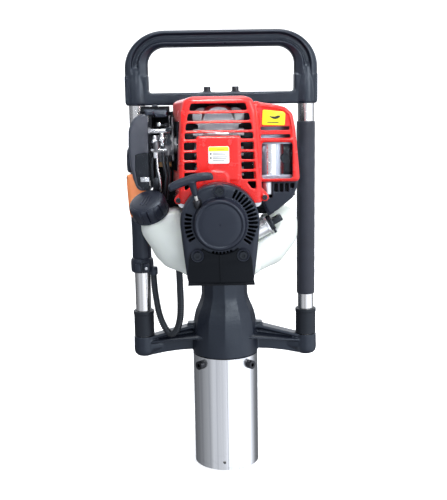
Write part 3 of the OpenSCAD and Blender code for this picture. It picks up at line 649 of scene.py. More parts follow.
def keep(node, mat, bev=0.0, seg=2, angle=35, smooth_angle=30):
    """a CAD node that keeps its shape: material, softened edges, shading"""
    ob = NODES[node]
    me = ob.data
    me.materials.clear()
    me.materials.append(M[mat])
    for p in me.polygons:
        p.material_index = 0
        p.use_smooth = True
    if "custom_normal" in me.attributes:
        me.attributes.remove(me.attributes["custom_normal"])
    w = ob.modifiers.new("weld", "WELD")
    w.merge_threshold = 0.00001
    if bev:
        b = ob.modifiers.new("edge", "BEVEL")
        b.width = bev * MM
        b.segments = seg
        b.limit_method = "ANGLE"
        b.angle_limit = math.radians(angle)
        b.use_clamp_overlap = True
        b.miter_outer = "MITER_ARC"
    wn = ob.modifiers.new("normals", "WEIGHTED_NORMAL")
    wn.weight = 80
    wn.keep_sharp = False
    return ob


# =====================================================================
# camera, floor and light
# =====================================================================
cam_d = bpy.data.cameras.new("camera")
cam_d.lens = 59.0
cam_d.sensor_width = 36.0
cam_d.clip_start = 0.05
cam = bpy.data.objects.new("camera", cam_d)
C.scene.collection.objects.link(cam)
cam.matrix_world = Matrix.Translation((-0.0004, -1.2324, 0.5543)) @ Matrix.Rotation(math.radians(90) - 0.176, 4, "X") @ Matrix.Rotation(-0.016, 4, "Z")
C.scene.camera = cam

world = bpy.data.worlds.new("world")
C.scene.world = world
world.use_nodes = True
wt = world.node_tree
bg = wt.nodes["Background"]
w_tc = wt.nodes.new("ShaderNodeTexCoord")
w_sep = wt.nodes.new("ShaderNodeSeparateXYZ")
wt.links.new(w_tc.outputs["Generated"], w_sep.inputs[0])


def w_math(op, a, b=0.0):
    n = wt.nodes.new("ShaderNodeMath")
    n.operation = op
    for i, v in enumerate((a, b)):
        if isinstance(v, (int, float)):
            n.inputs[i].default_value = v
        else:
            wt.links.new(v, n.inputs[i])
    return n.outputs[0]


# a room with a large window to the front right, a dimmer left and a dark back, so that metal shows bands
az = w_math("ADD", w_math("DIVIDE", w_math("ARCTAN2", w_sep.outputs[0], w_math("MULTIPLY", w_sep.outputs[1], -1.0)), 2 * math.pi), 0.5)
w_ramp = wt.nodes.new("ShaderNodeValToRGB")
stops = [(-180, 0.50), (-162, 0.46), (-153, 0.12), (-125, 0.17), (-100, 0.27), (-74, 0.38), (-58, 0.48), (-47, 0.74), (-12, 0.72), (3, 0.95), (12, 1.60), (90, 1.60), (103, 1.20), (116, 0.50), (130, 0.20), (155, 0.12), (164, 0.46), (180, 0.50)]
el = w_ramp.color_ramp.elements
while len(el) < len(stops):
    el.new(0.5)
for e_, (deg, v) in zip(el, stops):
    e_.position = deg / 360 + 0.5
    e_.color = (v * 0.94, v * 0.985, v * 1.07, 1)
wt.links.new(az, w_ramp.inputs["Fac"])


def w_step(a, b):
    n = wt.nodes.new("ShaderNodeMapRange")
    n.interpolation_type = "SMOOTHSTEP"
    n.inputs["From Min"].default_value = a
    n.inputs["From Max"].default_value = b
    wt.links.new(w_sep.outputs[2], n.inputs["Value"])
    return n.outputs["Result"]


def w_mix(fac, a, c):
    n = wt.nodes.new("ShaderNodeMix")
    n.data_type = "RGBA"
    wt.links.new(fac, n.inputs[0])
    wt.links.new(a, n.inputs[6])
    n.inputs[7].default_value = c
    return n.outputs[2]


sky = w_mix(w_step(0.45, 0.85), w_ramp.outputs["Color"], (0.60, 0.63, 0.69, 1))
ground = w_mix(w_step(-0.55, -0.85), sky, (0.35, 0.35, 0.36, 1))
bmask = w_math("MULTIPLY", w_step(0.02, 0.22), w_math("MINIMUM", w_math("MAXIMUM", w_math("MULTIPLY", w_math("SUBTRACT", w_sep.outputs[1], 0.15), 2.5), 0.0), 1.0))
behind = w_mix(bmask, ground, (1.75, 1.80, 1.90, 1))
wt.links.new(behind, bg.inputs[0])
bg.inputs[1].default_value = 0.92


def area_light(name, loc, target, size, size_y, power, color=(1, 1, 1)):
    d = bpy.data.lights.new(name, "AREA")
    d.shape = "RECTANGLE"
    d.size, d.size_y = size, size_y
    d.energy = power
    d.color = color
    o = bpy.data.objects.new(name, d)
    C.scene.collection.objects.link(o)
    o.location = loc
    o.rotation_euler = (Vector(target) - Vector(loc)).to_track_quat("-Z", "Y").to_euler()
    return o


area_light("key", (1.05, -1.35, 1.05), (0, -0.1, 0.35), 0.45, 0.9, 11.0, (1, 0.995, 0.98))
area_light("fill", (-1.2, -1.2, 1.1), (0, 0, 0.35), 0.4, 0.8, 2.6, (0.93, 0.97, 1))
area_light("top", (0, -0.3, 1.75), (0, -0.1, 0.4), 0.9, 0.45, 11.0, (0.96, 0.98, 1))
area_light("back", (0, 1.3, 1.4), (0, 0, 0.3), 1.0, 0.7, 5.0)
slot = area_light("slot_spot", (-0.05, -1.15, 0.95), (-0.005, -0.12, 0.535), 0.3, 0.15, 0.075)
slot.data.spread = math.radians(12)

C.scene.view_settings.view_transform = "Standard"


def floor():
    n = Nodes("pale_floor")
    col = n.ramp(n.noise(3, 2), [(0.3, (0.90, 0.90, 0.90)), (0.7, (0.92, 0.92, 0.92))])
    n.set(Base_Color=col, Roughness=0.85, Specular_IOR_Level=0.1)
    sp = n.t.nodes.new("ShaderNodeSeparateXYZ")
    n.link(n.tc.outputs["Object"], sp.inputs[0])
    rad = n.math("SQRT", n.math("ADD", n.math("MULTIPLY", sp.outputs[0], sp.outputs[0]), n.math("MULTIPLY", sp.outputs[1], sp.outputs[1])))
    n.set(Emission_Color=(1, 1, 1), Emission_Strength=n.maprange(rad, 0.3, 1.5, 0.30, 0.80))
    n.bump((n.noise(120, 2), 0.02, 0.0005))
    prof = [(0.02, 0.0), (1.0, 0.0), (3.4, 0.0)] + [(3.4 + 1.0 * math.sin(math.radians(a)), 1.0 - math.cos(math.radians(a))) for a in range(9, 91, 9)] + [(4.4, 4.0), (4.4, 8.0)]
    N = 96
    verts = [(r_ * math.cos(2 * math.pi * j / N), r_ * math.sin(2 * math.pi * j / N), z) for r_, z in prof for j in range(N)]
    faces = [tuple(range(N))]
    for i in range(len(prof) - 1):
        for j in range(N):
            k = (j + 1) % N
            faces.append((i * N + j, (i + 1) * N + j, (i + 1) * N + k, i * N + k))
    me = me_from(verts, faces)
    for p in me.polygons:
        p.use_smooth = True
    me.materials.append(n.m)
    ob = bpy.data.objects.new("floor", me)
    C.scene.collection.objects.link(ob)
    ob.location.z = -0.0005
    ob.visible_glossy = False
    ob.visible_diffuse = False
    ob.visible_shadow = False
    ob.visible_transmission = False
    return ob


floor()
B = "frame"

# =====================================================================
# carried-over CAD nodes
# =====================================================================
keep("post_sleeve", "sleeve", 0.5)
keep("sleeve_screws", "screw", 0.6)
keep("left_damper", "rubber", 0.8)
keep("right_damper", "rubber", 0.8)
keep("left_tube", "tube")
keep("right_tube", "tube")
keep("handle_screws", "screw", 0.5)
keep("handle_isolators", "rubber", 0.5)
keep("guide_bush", "brass", 0.4)
keep("buffer_ring", "rubber", 0.4)
keep("anvil", "steel", 0.6)
keep("ram", "steel", 0.4)
keep("cylinder_liner", "steel", 0.4)
keep("drive_piston", "alu_bright", 0.3)
keep("connecting_rod", "steel", 0.4)
keep("crank_gear", "steel", 0.15)
keep("case_bearings", "zinc", 0.3)
keep("gear_case", "cast", 1.6, 3)
keep("case_bolts", "screw", 0.4)
keep("gear_cover", "cast", 1.0, 3)
keep("cover_screws", "screw", 0.4)
keep("clutch_drum", "steel", 0.2)
keep("clutch_shoes", "steel", 0.3)
keep("crankshaft", "steel", 0.3)
keep("engine_rod", "alu", 0.3)
keep("engine_piston", "alu_bright", 0.3)
keep("flywheel", "alu", 0.3)
keep("crankcase", "alu_smooth", 0.8)
keep("cylinder_block", "alu_block", 0.7)
keep("spark_plug_cap", "rubber", 0.8)
keep("ignition_coil", "black_shiny", 0.6)
keep("starter_screws", "black_shiny", 0.5)
keep("starter_reel", "black", 0.3)
keep("fuel_cap_seal", "rubber", 0.2)
keep("oil_cap_seal", "rubber", 0.2)
keep("air_cleaner_base", "black_dead", 0.8)
keep("air_filter", "foam", 0.8)
keep("carburetor", "carb", 0.5)
keep("choke_lever", "black_shiny", 0.4)
keep("primer_bulb", "bulb", 1.0)
keep("throttle_lever", "screw", 0.3)
keep("muffler", "heat", 0.8)
keep("stop_switch", "red", 0.5)
keep("throttle_lock", "black", 0.8)


# =====================================================================
# barrel housing: faceted neck that runs out into a round foot, two arms
# =====================================================================
def barrel():
    prof = [(46.0, 0), (49.5, 0.4), (50.3, 2.0), (50.3, 12), (50.2, 24), (49.9, 32), (49.5, 38), (48.8, 46), (47.9, 53), (46.6, 59.5), (45.0, 65.5), (43.0, 71), (41.0, 75.5), (39.0, 80), (37.3, 84.5), (36.2, 88.5), (35.6, 92), (35.3, 97), (35.2, 154)]
    n = 192
    rings = []
    for r, h in prof:
        f = min(1.0, max(0.0, (h - 10) / 38))
        f = f * f * (3 - 2 * f)
        ring = []
        for j in range(n):
            t = 2 * math.pi * j / n - math.pi / 2
            d = ((t + math.pi / 2) % (math.pi / 6)) - math.pi / 12
            k = (1 - f) + f * math.cos(math.pi / 12) / math.cos(d)
            ring.append((r * k * math.cos(t), r * k * math.sin(t), 176 + h))
        rings.append(ring)
    neck = loft(rings)
    parts = []
    for s in (-1, 1):
        def fx(p):
            return [(s * x, z) for x, z in p]
        web = plate([fx([(34, 181.5), (48, 180.6), (70, 179.4), (92, 176.6), (116, 171.8), (124, 173), (124, 200), (112, 203), (80, 212), (52, 219.5), (34, 221)])], -6.2, 6.2, 2.0)
        top = plate([fx([(36, 221.5), (54, 219.4), (90, 209.6), (118, 202), (118, 197), (90, 204.2), (54, 213.6), (36, 215.5)])], -11.5, 11.5, 1.8)
        rib = []
        for (xa, ya, za), (xb, yb, zb) in (((33, -36, 206.2), (116, -13.0, 194.0)),):
            P = [Vector((s * (xa + (xb - xa) * k / 12), 0, za + (zb - za) * k / 12)) for k in range(13)]
            rings = []
            for k, p in enumerate(P):
                w = 36 - 23.0 * k / 12
                sec = []
                for a in range(20):
                    t = 2 * math.pi * a / 20
                    sx = math.copysign(abs(math.cos(t)) ** 0.55, math.cos(t))
                    sz = math.copysign(abs(math.sin(t)) ** 0.8, math.sin(t))
                    sec.append((p.x, w * sx, p.z + 3.0 * sz))
                rings.append(sec if s > 0 else list(reversed(sec)))
            rib.append(loft(rings))
        boss = box_mesh(min(s * 45, s * 58), max(s * 45, s * 58), -9, 9, 212, 223.5, 2.2)
        sock = lathe([(5, 0.3), (9.5, 0.6), (13.0, 2.2), (15.4, 5.2), (16.4, 9.4), (16.6, 14), (16.3, 18), (16.1, 31.4), (15.6, 32)], (s * TX, 0, 171), (0, 0, 1), 48)
        elbow = lathe([(0.1, -34), (4, -33), (7.5, -27), (10.5, -18), (13.0, -6), (13.6, 4), (11, 11), (6, 14.5), (0.1, 15.4)], (s * TX, 0, 187.5), (s * 1, 0, 0), 32)
        parts += [web, top, boss, sock, elbow] + rib
    flange = lathe([(44, 142), (46, 142.8), (46, 153.2), (45.2, 154)], (0, 0, 176), (0, 0, 1), 96)
    me = fused(joined(neck, *parts, flange), 1.1, 3, 0.5, 0.6)
    # flat foot on the sleeve
    for v in me.vertices:
        if v.co.z < 176.0:
            v.co.z = 176.0 if abs(v.co.x) < 60 else v.co.z
    return link("barrel_housing_cast", me, "cast", B, "barrel_housing", sharp=0)


barrel()


# =====================================================================
# upper handle
# =====================================================================
def arch(h, z0, z1, r, r0=0.0, seg=14):
    """a D-shaped loop: h is half the width; the top corners have radius r and the lower ones r0"""
    return fillet([(-h, z0), (h, z0), (h, z1), (-h, z1)], [r0, r0, r, r], seg)


def handle():
    # the arch: outer and inner edge curves, with a ribbed channel between them on both faces
    O, I, side = [], [], []
    for k in range(4):
        O.append((141.0, 594 + 13.5 * k / 3)), I.append((107.2, 594 + 19 * k / 3)), side.append(1.0)
    for k in range(1, 17):
        a = math.pi / 2 * k / 16
        O.append((81 + 60 * math.cos(a), 607.5 + 54 * math.sin(a))), I.append((82 + 25.2 * math.cos(a), 613 + 24 * math.sin(a))), side.append(math.cos(a) ** 1.3)
    for k in range(1, 12):
        O.append((81 - 162 * k / 12, 661.5)), I.append((82 - 164 * k / 12, 637)), side.append(0.0)
    for k in range(16, 0, -1):
        a = math.pi / 2 * k / 16
        O.append((-81 - 60 * math.cos(a), 607.5 + 54 * math.sin(a))), I.append((-82 - 25.2 * math.cos(a), 613 + 24 * math.sin(a))), side.append(math.cos(a) ** 1.3)
    for k in range(3, -1, -1):
        O.append((-141.0, 594 + 13.5 * k / 3)), I.append((-107.2, 594 + 19 * k / 3)), side.append(1.0)
    # (fraction across, half depth) with the channel's own depth last
    rings = []
    N = len(O)
    for i in range(N):
        w = side[i]
        f1 = 0.20 + 0.06 * w
        f2 = 0.77 - 0.12 * w
        deep = 1.0 if 4 <= i < N - 4 else (0.0 if i in (0, 1, N - 1, N - 2) else 0.6)
        sec = [(0.0, 4.5), (0.015, 8.0), (0.06, 11.2), (f1 - 0.06, 13.4), (f1, 14.0), (f1 + 0.035, 13.6), (f1 + 0.075, 13.8 - 5.6 * deep), (f1 + 0.15, 13.8 - 6.2 * deep),
               ((f1 + f2) / 2 - 0.06, 13.8 - 5.4 * deep), ((f1 + f2) / 2 + 0.06, 13.8 - 5.2 * deep), (f2 - 0.15, 13.8 - 6.2 * deep), (f2 - 0.075, 13.8 - 5.6 * deep), (f2 - 0.035, 13.6), (f2, 14.0), (f2 + 0.06, 13.4), (0.94, 10.8), (0.985, 8.0), (1.0, 4.5)]
        ring = []
        for f, d in sec:
            ring.append((O[i][0] + (I[i][0] - O[i][0]) * f, -d, O[i][1] + (I[i][1] - O[i][1]) * f))
        for f, d in reversed(sec):
            ring.append((O[i][0] + (I[i][0] - O[i][0]) * f, d, O[i][1] + (I[i][1] - O[i][1]) * f))
        rings.append(ring)
    arch_ = loft(rings)
    low = fillet([(-141, 554), (141, 554), (141, 597), (107.2, 597), (107, 572), (-107, 572), (-107.2, 597), (-141, 597)], [5, 5, 0, 0, 5, 5, 0, 0], 6)
    low = plate([resample(low, 8)], -13.6, 13.6, 2.6, 3)
    posts = []
    for q in (-1, 1):
        posts.append(lathe([(12, 0), (16.0, 0.6), (17.1, 2.4), (17.0, 18), (16.6, 27), (15.9, 35), (14.9, 42), (13.9, 48), (12.4, 54), (8, 58)], (q * 124, 0, 553.8), (0, 0, 1), 48))
    pads = [lathe([(9, 0), (12.2, 0.5), (12.2, 2.0), (11.2, 2.9), (6, 3.0)], (x, 0, 569.6), (0, 0, 1), 32) for x in (-20.8, 20.8)]
    me = fused(joined(arch_, low, *posts, *pads), 0.95, 2, 0.5, 0.5)
    return link("top_handle_cast", me, "cast_soft", B, "top_handle", sharp=0)


handle()


# =====================================================================
# foam grip
# =====================================================================
def grip():
    z0, z1 = 266.5, 528.0
    prof = [(12.1, 0), (12.9, 0.1), (13.5, 0.9), (13.75, 2.2)]
    k = 40
    for i in range(1, k):
        h = 2.2 + (z1 - z0 - 4.4) * i / k
        prof.append((13.75 + 0.10 * math.sin(i * 1.7) + 0.06 * math.sin(i * 4.1), h))
    h = z1 - z0
    prof += [(13.75, h - 2.2), (13.5, h - 0.9), (12.9, h - 0.1), (12.1, h)]
    me = lathe(prof, (TX, 0, z0), (0, 0, 1), 64)
    return link("foam_grip_sleeve", me, "foam", B, "grip_sleeve")


grip()


# =====================================================================
# red fan cover
# =====================================================================
def arc_pts(cx, cz, r, a0, a1, n):
    return [(cx + r * math.cos(math.radians(a0 + (a1 - a0) * i / (n - 1))), cz + r * math.sin(math.radians(a0 + (a1 - a0) * i / (n - 1)))) for i in range(n)]


def fan_cover():
    # centre block: a box with a rounded front edge whose left flank flares to the back
    main = fillet([(-58.0, 420), (-57.6, 452), (-55.6, 500), (-52.4, 545), (-48.4, 561.0), (-38, 565.2), (29, 565.2), (40, 561.5), (45.6, 545), (47.4, 500), (51.6, 452), (52.0, 420)],
                  [8, 0, 0, 12, 9, 12, 12, 9, 12, 0, 0, 8], 6)
    main = resample(ccw(main), 5)

    def skew(x, z, t):
        w = max(0.0, min(1.0, (EX - x) / 45)) if x < EX else -max(0.0, min(1.0, (x - EX) / 45)) * 0.2
        up = max(0.0, min(1.0, (z - 530) / 26))
        return x - ((11.5 if z > 440 else 9.0) + 6.5 * up) * w * t, z - (2.4 * t if z > 500 else 0)

    outer = block2(main, -146.2, -84.0, 6.2, skew)
    inner = block2(resample(shrink(main, 2.8), 5), -142.8, -78.0, 4.0, skew)
    arc = lathe([(0.1, 0), (50.2, 0), (50.2, 90), (0.1, 90)], (EX, -160, EZ), (0, 1, 0), 96)
    foot = prism([(-80, 400), (80, 400), (80, 424), (-80, 424)], -160, -70)

    def slot(p, rr=1.8):
        return prism(fillet(p, rr, 4), -152, -139)

    cuts = [
        slot([(-40.0, 555.6), (31.0, 555.6), (33.6, 546.4), (-43.0, 546.4)]),
        slot([(-44.0, 542.6), (35.4, 542.6), (37.4, 533.4), (-46.4, 533.4)]),
        slot([(-46.8, 529.9), (38.2, 529.9), (39.8, 520.9), (-48.4, 520.9)]),
        slot([(-48.9, 517.6), (40.4, 517.6), (41.4, 509.4), (24.8, 509.4), (23.4, 513.6), (-33.0, 513.6), (-34.4, 509.4), (-49.6, 509.4)]),
    ]
    for i in range(4):
        z = 505 - 13.2 * i
        cuts.append(slot([(-50.4 - 0.1 * i, z), (-34.0, z), (-34.0, z - 9.6), (-50.6 - 0.1 * i, z - 9.6)], 1.5))
    for i in range(4):
        z = 505 - 13.1 * i
        cuts.append(slot([(24.4 + 0.2 * i, z), (41.6 + 0.55 * i, z), (41.9 + 0.6 * i, z - 9.6), (24.8 + 0.3 * i, z - 9.6)], 1.5))
    cuts.append(slot([(31.5, 453.0), (43.8, 453.0), (44.2, 443.6), (38.8, 443.6)], 1.4))
    cuts.append(slot([(-50.6, 452.3), (-40.0, 452.3), (-46.4, 444.0), (-50.8, 441.6)], 1.4))
    side = [prism([(-78, 465), (-54, 465), (-54, 532), (-78, 532)], -126, -70), prism([(40, 455), (60, 455), (60, 512), (40, 512)], -130, -70)]
    me = boolean(outer, [inner])
    me = boolean(me, [arc, foot])
    me = boolean(me, side)
    me = boolean(me, cuts)
    # the flat panel between the side slots stands a little proud, with a rounded rise at its lower left
    pan = fillet([(-31.4, 512.4), (21.6, 512.4), (22.2, 470), (21.0, 455), (-30.5, 455), (-32.0, 470)], 2.2, 4)
    low = fillet([(-24, 447), (-24, 461), (-14, 468), (4, 466.5), (8, 460), (8, 447)], [2, 6, 6, 5, 4, 2], 4)
    ears = []
    for cx, cz in ((56.0, 431.0), (-59.6, 428.6)):
        k = 1 if cx > 0 else -1
        ears.append(lathe([(0.1, 0), (5.2, 0), (5.6, 1), (5.6, 14), (4.8, 15), (0.1, 15)], (cx, -126, cz), (0, -1, 0), 32))
        ears.append(prism(fillet([(cx - k * 13, cz + 13), (cx - k * 3.0, cz + 12), (cx + k * 4.8, cz + 3.5), (cx + k * 4.4, cz - 3.6), (cx - k * 8, cz - 6)], [0, 4, 3, 3, 0], 4), -139.5, -128))
    me = joined(me, block(resample(pan, 4), -147.0, -143.4, 0.8), block(resample(low, 3), -149.2, -143.4, 2.0), *ears)
    me = fused(me, 0.85, 3, 0.5, 0.42)
    link("fan_cover_main", me, "red", B, "fan_cover", sharp=0)
    screws = []
    for cx, cz in ((56.0, 431.0), (-59.6, 428.6)):
        screws.append(lathe([(0.1, 0), (1.8, 0.1), (1.9, 1.4), (3.3, 1.4), (3.5, 1.8), (3.5, 4.0), (3.0, 4.5), (1.6, 4.5), (1.5, 3.0), (0.1, 3.0)], (cx, -139.6, cz), (0, -1, 0), 24))
    link("fan_cover_ear_screws", joined(*screws), "screw", B)

    # right wing, set back, over the muffler
    wing = resample(ccw(fillet([(36, 451.0), (103.8, 451.0), (101.4, 480), (97.8, 520), (93.6, 541), (84, 549.6), (70, 553.4), (36, 558.4)], [6, 5.6, 0, 8, 9, 9, 6, 6], 6)), 5)
    keep_xz = lambda x, z, t: (x + (0.8 * t if x > 60 else 0), z)
    wo = block2(wing, -138.5, -84.0, 5.2, keep_xz)
    wi = block2(resample(shrink(wing, 2.8), 5), -135.2, -78.0, 3.4, keep_xz)
    pocket = prism(fillet([(49.6, 508.0), (92.0, 508.0), (92.4, 520), (88.8, 540), (81, 545.2), (68, 548.4), (49.6, 551.0)], 3.4, 4), -145, -137.0)
    wc = [prism(fillet([(52.2, 455.2), (93.7, 455.2), (93.5, 503.4), (52.6, 503.8)], 3.6, 5), -145, -130)]
    for z0, z1, xb in ((509.4, 513.8, 90.6), (519.6, 524.2, 89.6)):
        wc.append(prism(fillet([(51.2, z0), (xb, z0), (xb - 0.5, z1), (51.4, z1)], 1.2, 3), -145, -130))
    left_cut = prism([(20, 440), (44, 440), (44, 600), (20, 600)], -150, -70)
    me = boolean(wo, [wi])
    me = boolean(me, [pocket, left_cut])
    me = boolean(me, wc)
    step = fillet([(42.0, 452), (50.2, 452), (50.4, 500), (48.6, 535), (46.0, 555), (40.0, 556)], [0, 2.8, 0, 0, 3, 2.8], 4)
    rim = [prism(fillet([(49.6, 505.0), (94.6, 505.0), (94.6, 508.4), (49.6, 508.4)], 1.0, 3), -140.2, -136)]
    me = joined(me, block(resample(step, 4), -142.6, -120, 2.6), box_mesh(41.5, 49.2, -141.5, -128, 550.5, 557.4, 1.4), *rim)
    me = fused(me, 0.85, 3, 0.5, 0.45)
    link("fan_cover_wing", me, "red", B, sharp=0)
    inside = joined(box_mesh(44.5, 96, -100, -97, 506, 548, 0.6), box_mesh(46, 92, -124, -98, 503.6, 505.4, 0.3), box_mesh(50, 88, -112, -100, 526, 536, 2.0))
    link("fan_cover_baffle", inside, "heat", B)
    # black rear half of the shroud: a shallow tray that closes the back
    tray_o = resample(ccw(fillet([(-63.5, 436), (-63.5, 545), (-58, 558.5), (-46, 561.5), (32, 563), (70, 552), (86, 547), (95, 538), (99, 520), (102, 470), (102, 452), (56, 452), (52, 424), (-58, 424)], [4, 8, 8, 6, 6, 8, 8, 8, 8, 4, 5, 5, 5, 5], 5)), 5)
    tray = block(list(tray_o), -86.0, -64.5, 1.0, 0.0, 3, 4.0)
    hollow = prism(shrink(tray_o, 2.4), -90, -68.0)
    tray = boolean(tray, [hollow])
    tray = boolean(tray, [lathe([(0.1, 0), (47, 0), (47, 60), (0.1, 60)], (EX, -110, EZ), (0, 1, 0), 72)])
    link("shroud_rear_half", bevelled(tray, 0.5, 2, 50), "black", B, sharp=32)
    shield = resample(ccw(fillet([(-97.5, 428), (-97.5, 543), (-56, 547), (-48, 402), (-76, 402)], [5, 5, 2, 2, 8], 5)), 5)
    link("intake_back_shield", block(shield, -73.5, -68.5, 1.6), "black_dead", B, sharp=32)
    brk = fused(joined(box_mesh(36, 60, -112, -82, 412, 438, 2.0), box_mesh(30, 48, -110, -80, 398, 426, 2.0)), 0.9, 3, 0.5, 0.5)
    link("crankcase_bracket", brk, "black_deep", B, sharp=0)
    link("crankcase_bracket_foot", bevelled(prism(fillet([(46, 404.5), (60.5, 404.5), (68, 424), (66, 438), (46, 438)], 1.5, 3), -106, -95), 0.6), "black_deep", B, sharp=32)
    # painted shade: near-black sheets right behind the side slot columns make the slots read dark, standing in for the
    # shade inside the cover
    slot_shade_veil = joined(box_mesh(-61, -37, -121, -118.5, 448, 517, 0.6), box_mesh(25, 47, -121, -118.5, 448, 517, 0.6))
    link("side_slot_shade_sheets", slot_shade_veil, "black_deep", B, sharp=32)
    # rocker cover: a turned dome with a machined rim, seen through the upper slots
    dome = lathe([(20, 0), (33.0, 0), (33.8, 0.8), (33.9, 3.2), (33.0, 4.2), (30.6, 4.6), (29.6, 5.6), (29.4, 8.6), (28.4, 10.0), (25.2, 10.8), (24.3, 12.2), (24.0, 20), (23.5, 28), (22.4, 33.5), (20.2, 38), (16.4, 41.4), (11, 43.4), (0.1, 44.2)], (EX - 0.6, -104.4, 509.6), (0, 0, 1), 96)
    link("rocker_cover_dome", dome, "alu_smooth", B, sharp=40)
    fins = [lathe([(24, 0), (35.0, 0), (35.4, 0.4), (35.4, 1.6), (35.0, 2.0), (24, 2.0)], (EX, -101, 457.5 + 6.1 * k), (0, 0, 1), 72) for k in range(8)]
    link("cylinder_fin_edges", joined(*fins), "alu", B, sharp=40)


fan_cover()


def labels():
    w = fillet([(-18.6, 477.2), (9.2, 477.2), (9.0, 499.8), (-18.4, 499.8)], 2.2, 5)
    link("label_white_plate", plate([w], -148.0, -147.4, 0.2, 1), "white", B)
    h = fillet([(-17.9, 493.6), (8.5, 493.6), (8.4, 499.2), (-17.8, 499.2)], [0.3, 0.3, 1.8, 1.8], 4)
    link("label_header", plate([h], -148.3, -147.9, 0.12, 1), "yellow", B)
    bars = [plate([fillet([(-7.5, 495.4), (3.5, 495.4), (3.5, 497.2), (-7.5, 497.2)], 0.4, 2)], -148.5, -148.2, 0.08, 1)]
    link("label_header_bar", joined(*bars), "ink_amber", B)
    soft = []
    for i, (z, x0, x1) in enumerate(((490.6, -12.4, 6.4), (488.6, -12.4, 4.2), (485.6, -12.4, 6.8), (483.6, -12.4, 5.2), (481.0, -12.4, 2.6))):
        soft.append(plate([fillet([(x0, z), (x1, z), (x1, z + 0.9), (x0, z + 0.9)], 0.3, 2)], -148.3, -147.95, 0.08, 1))
    link("label_soft_bars", joined(*soft), "ink_soft", B)
    dots = [plate([circle(-15.2, z, 1.1, 16)], -148.35, -147.95, 0.1, 1) for z in (490.2, 484.8)]
    link("label_dots", joined(*dots), "ink", B)
    y = fillet([(53.0, 526.6), (83.0, 525.6), (84.0, 540.6), (81.4, 543.6), (54.2, 546.6)], 1.6, 5)
    link("label_yellow_plate", plate([y], -138.6, -137.9, 0.2, 1), "yellow", B)
    # a plain leaf-like bar and a line, no lettering
    mark = [(61.0, 539.4), (65.5, 537.6), (70.0, 537.2), (74.0, 538.6), (77.0, 538.4), (77.0, 536.6), (73.5, 534.6), (69.5, 534.0), (65.5, 535.6)]
    ln = [(60.0, 529.4), (75.0, 528.9), (75.0, 530.2), (60.0, 530.7)]
    link("label_yellow_marks", joined(plate([fillet(mark, 0.5, 3)], -138.9, -138.5, 0.1, 1), plate([fillet(ln, 0.3, 2)], -138.9, -138.5, 0.1, 1)), "ink", B)


labels()


# =====================================================================
# recoil starter and the guard at its foot
# =====================================================================
def starter():
    c = arc_pts(EX, EZ, 52.0, -2, 182, 60)
    outline = ccw(c + [(-54.6, 380), (-51.6, 352), (-47.8, 321.6), (38.8, 321.6), (42.6, 352), (45.8, 380)])
    outline = resample(fillet(outline, [0] * 60 + [0, 0, 7.5, 7.5, 0, 0] if area2(c + [(-54.6, 380), (-51.6, 352), (-47.8, 321.6), (38.8, 321.6), (42.6, 352), (45.8, 380)]) > 0 else [0, 0, 7.5, 7.5, 0, 0] + [0] * 60, 5), 4)
    outer = block(outline, -182.2, -152.0, 7.0, 0.0, 6)
    cav = prism(shrink(outline, 3.2), -176.5, -150)
    me = boolean(outer, [cav])
    cut = []
    for a0, a1, st in ((-34, 67, 6.9), (164, 214, 7.4), (256, 291, 7.0)):
        a = a0
        while a <= a1 + 0.1:
            t = math.radians(a)
            d, nrm = Vector((math.cos(t), math.sin(t))), Vector((-math.sin(t), math.cos(t)))
            r0, r1 = (36.8, 49.4) if -12 < a < 70 else ((36.8, 47.6) if a0 < 0 else (37.0, 46.4))
            w0, w1 = 1.3, 1.85
            o = Vector((EX, EZ))
            p = [o + d * r0 - nrm * w0, o + d * r1 - nrm * w1, o + d * r1 + nrm * w1, o + d * r0 + nrm * w0]
            cut.append(prism(fillet([tuple(q) for q in p], 1.0, 3), -190, -170))
            a += st
    me = boolean(me, cut)
    me = fused(me, 0.72, 2, 0.5, 0.4)
    # centre cap: dished disc inside a rim, a small dimple, a skirt down to the case
    cap = lathe([(0.05, 14.2), (0.5, 14.25), (0.9, 14.7), (1.3, 15.0), (3, 15.05), (20, 14.8), (26.2, 14.55), (27.3, 14.2), (27.9, 14.3), (28.6, 15.0), (29.2, 15.6),
                 (30.2, 15.9), (31.3, 15.7), (32.1, 15.0), (32.8, 13.4), (33.6, 6.5), (34.4, 1.6), (35.4, 0.3), (36.4, -0.6), (36.4, -4), (0.05, -4)],
                (EX, -182, EZ), (0, -1, 0), 120)
    boss = lathe([(3.4, 2.0), (5.2, 2.0), (5.6, 3.6), (7.4, 3.7), (8.1, 3.1), (8.7, 0), (9.2, -5), (3.4, -5)], (EX, -182.2, 444.5), (0, -1, 0), 40)
    eye = lathe([(1.9, -9), (5.2, -9), (5.6, -1), (5.0, 0.2), (3.0, 0.4), (1.9, -0.5)], EYE, PULL_A, 32)
    link("recoil_starter_case", me, "black", B, "recoil_starter", sharp=0)
    link("recoil_starter_cap", joined(cap, boss), "black", B, sharp=34)
    link("rope_eyelet", joined(eye, lathe([(2.0, 0.2), (2.6, 0.9), (3.6, 1.0), (4.1, 0.3), (3.6, -0.3), (2.0, -0.4)], EYE, PULL_A, 32)), "screw", B)
    # dark mesh of the intake behind the slots
    rings = []
    for r in (36, 40, 44, 48):
        rings.append(lathe([(r - 0.5, 0), (r + 0.5, 0), (r + 0.5, 1.2), (r - 0.5, 1.2)], (EX, -175.5, EZ), (0, 1, 0), 72))
    link("recoil_starter_screen", joined(*rings), "black_dead", B)
    # a curved rib that runs up the right of the case
    rib = [(EX + 50.2 * math.cos(math.radians(a)), -178.6, EZ + 50.2 * math.sin(math.radians(a))) for a in range(-30, 62, 4)]
    link("recoil_starter_lip", sweep(rib, 1.5, 10), "black", B)


starter()


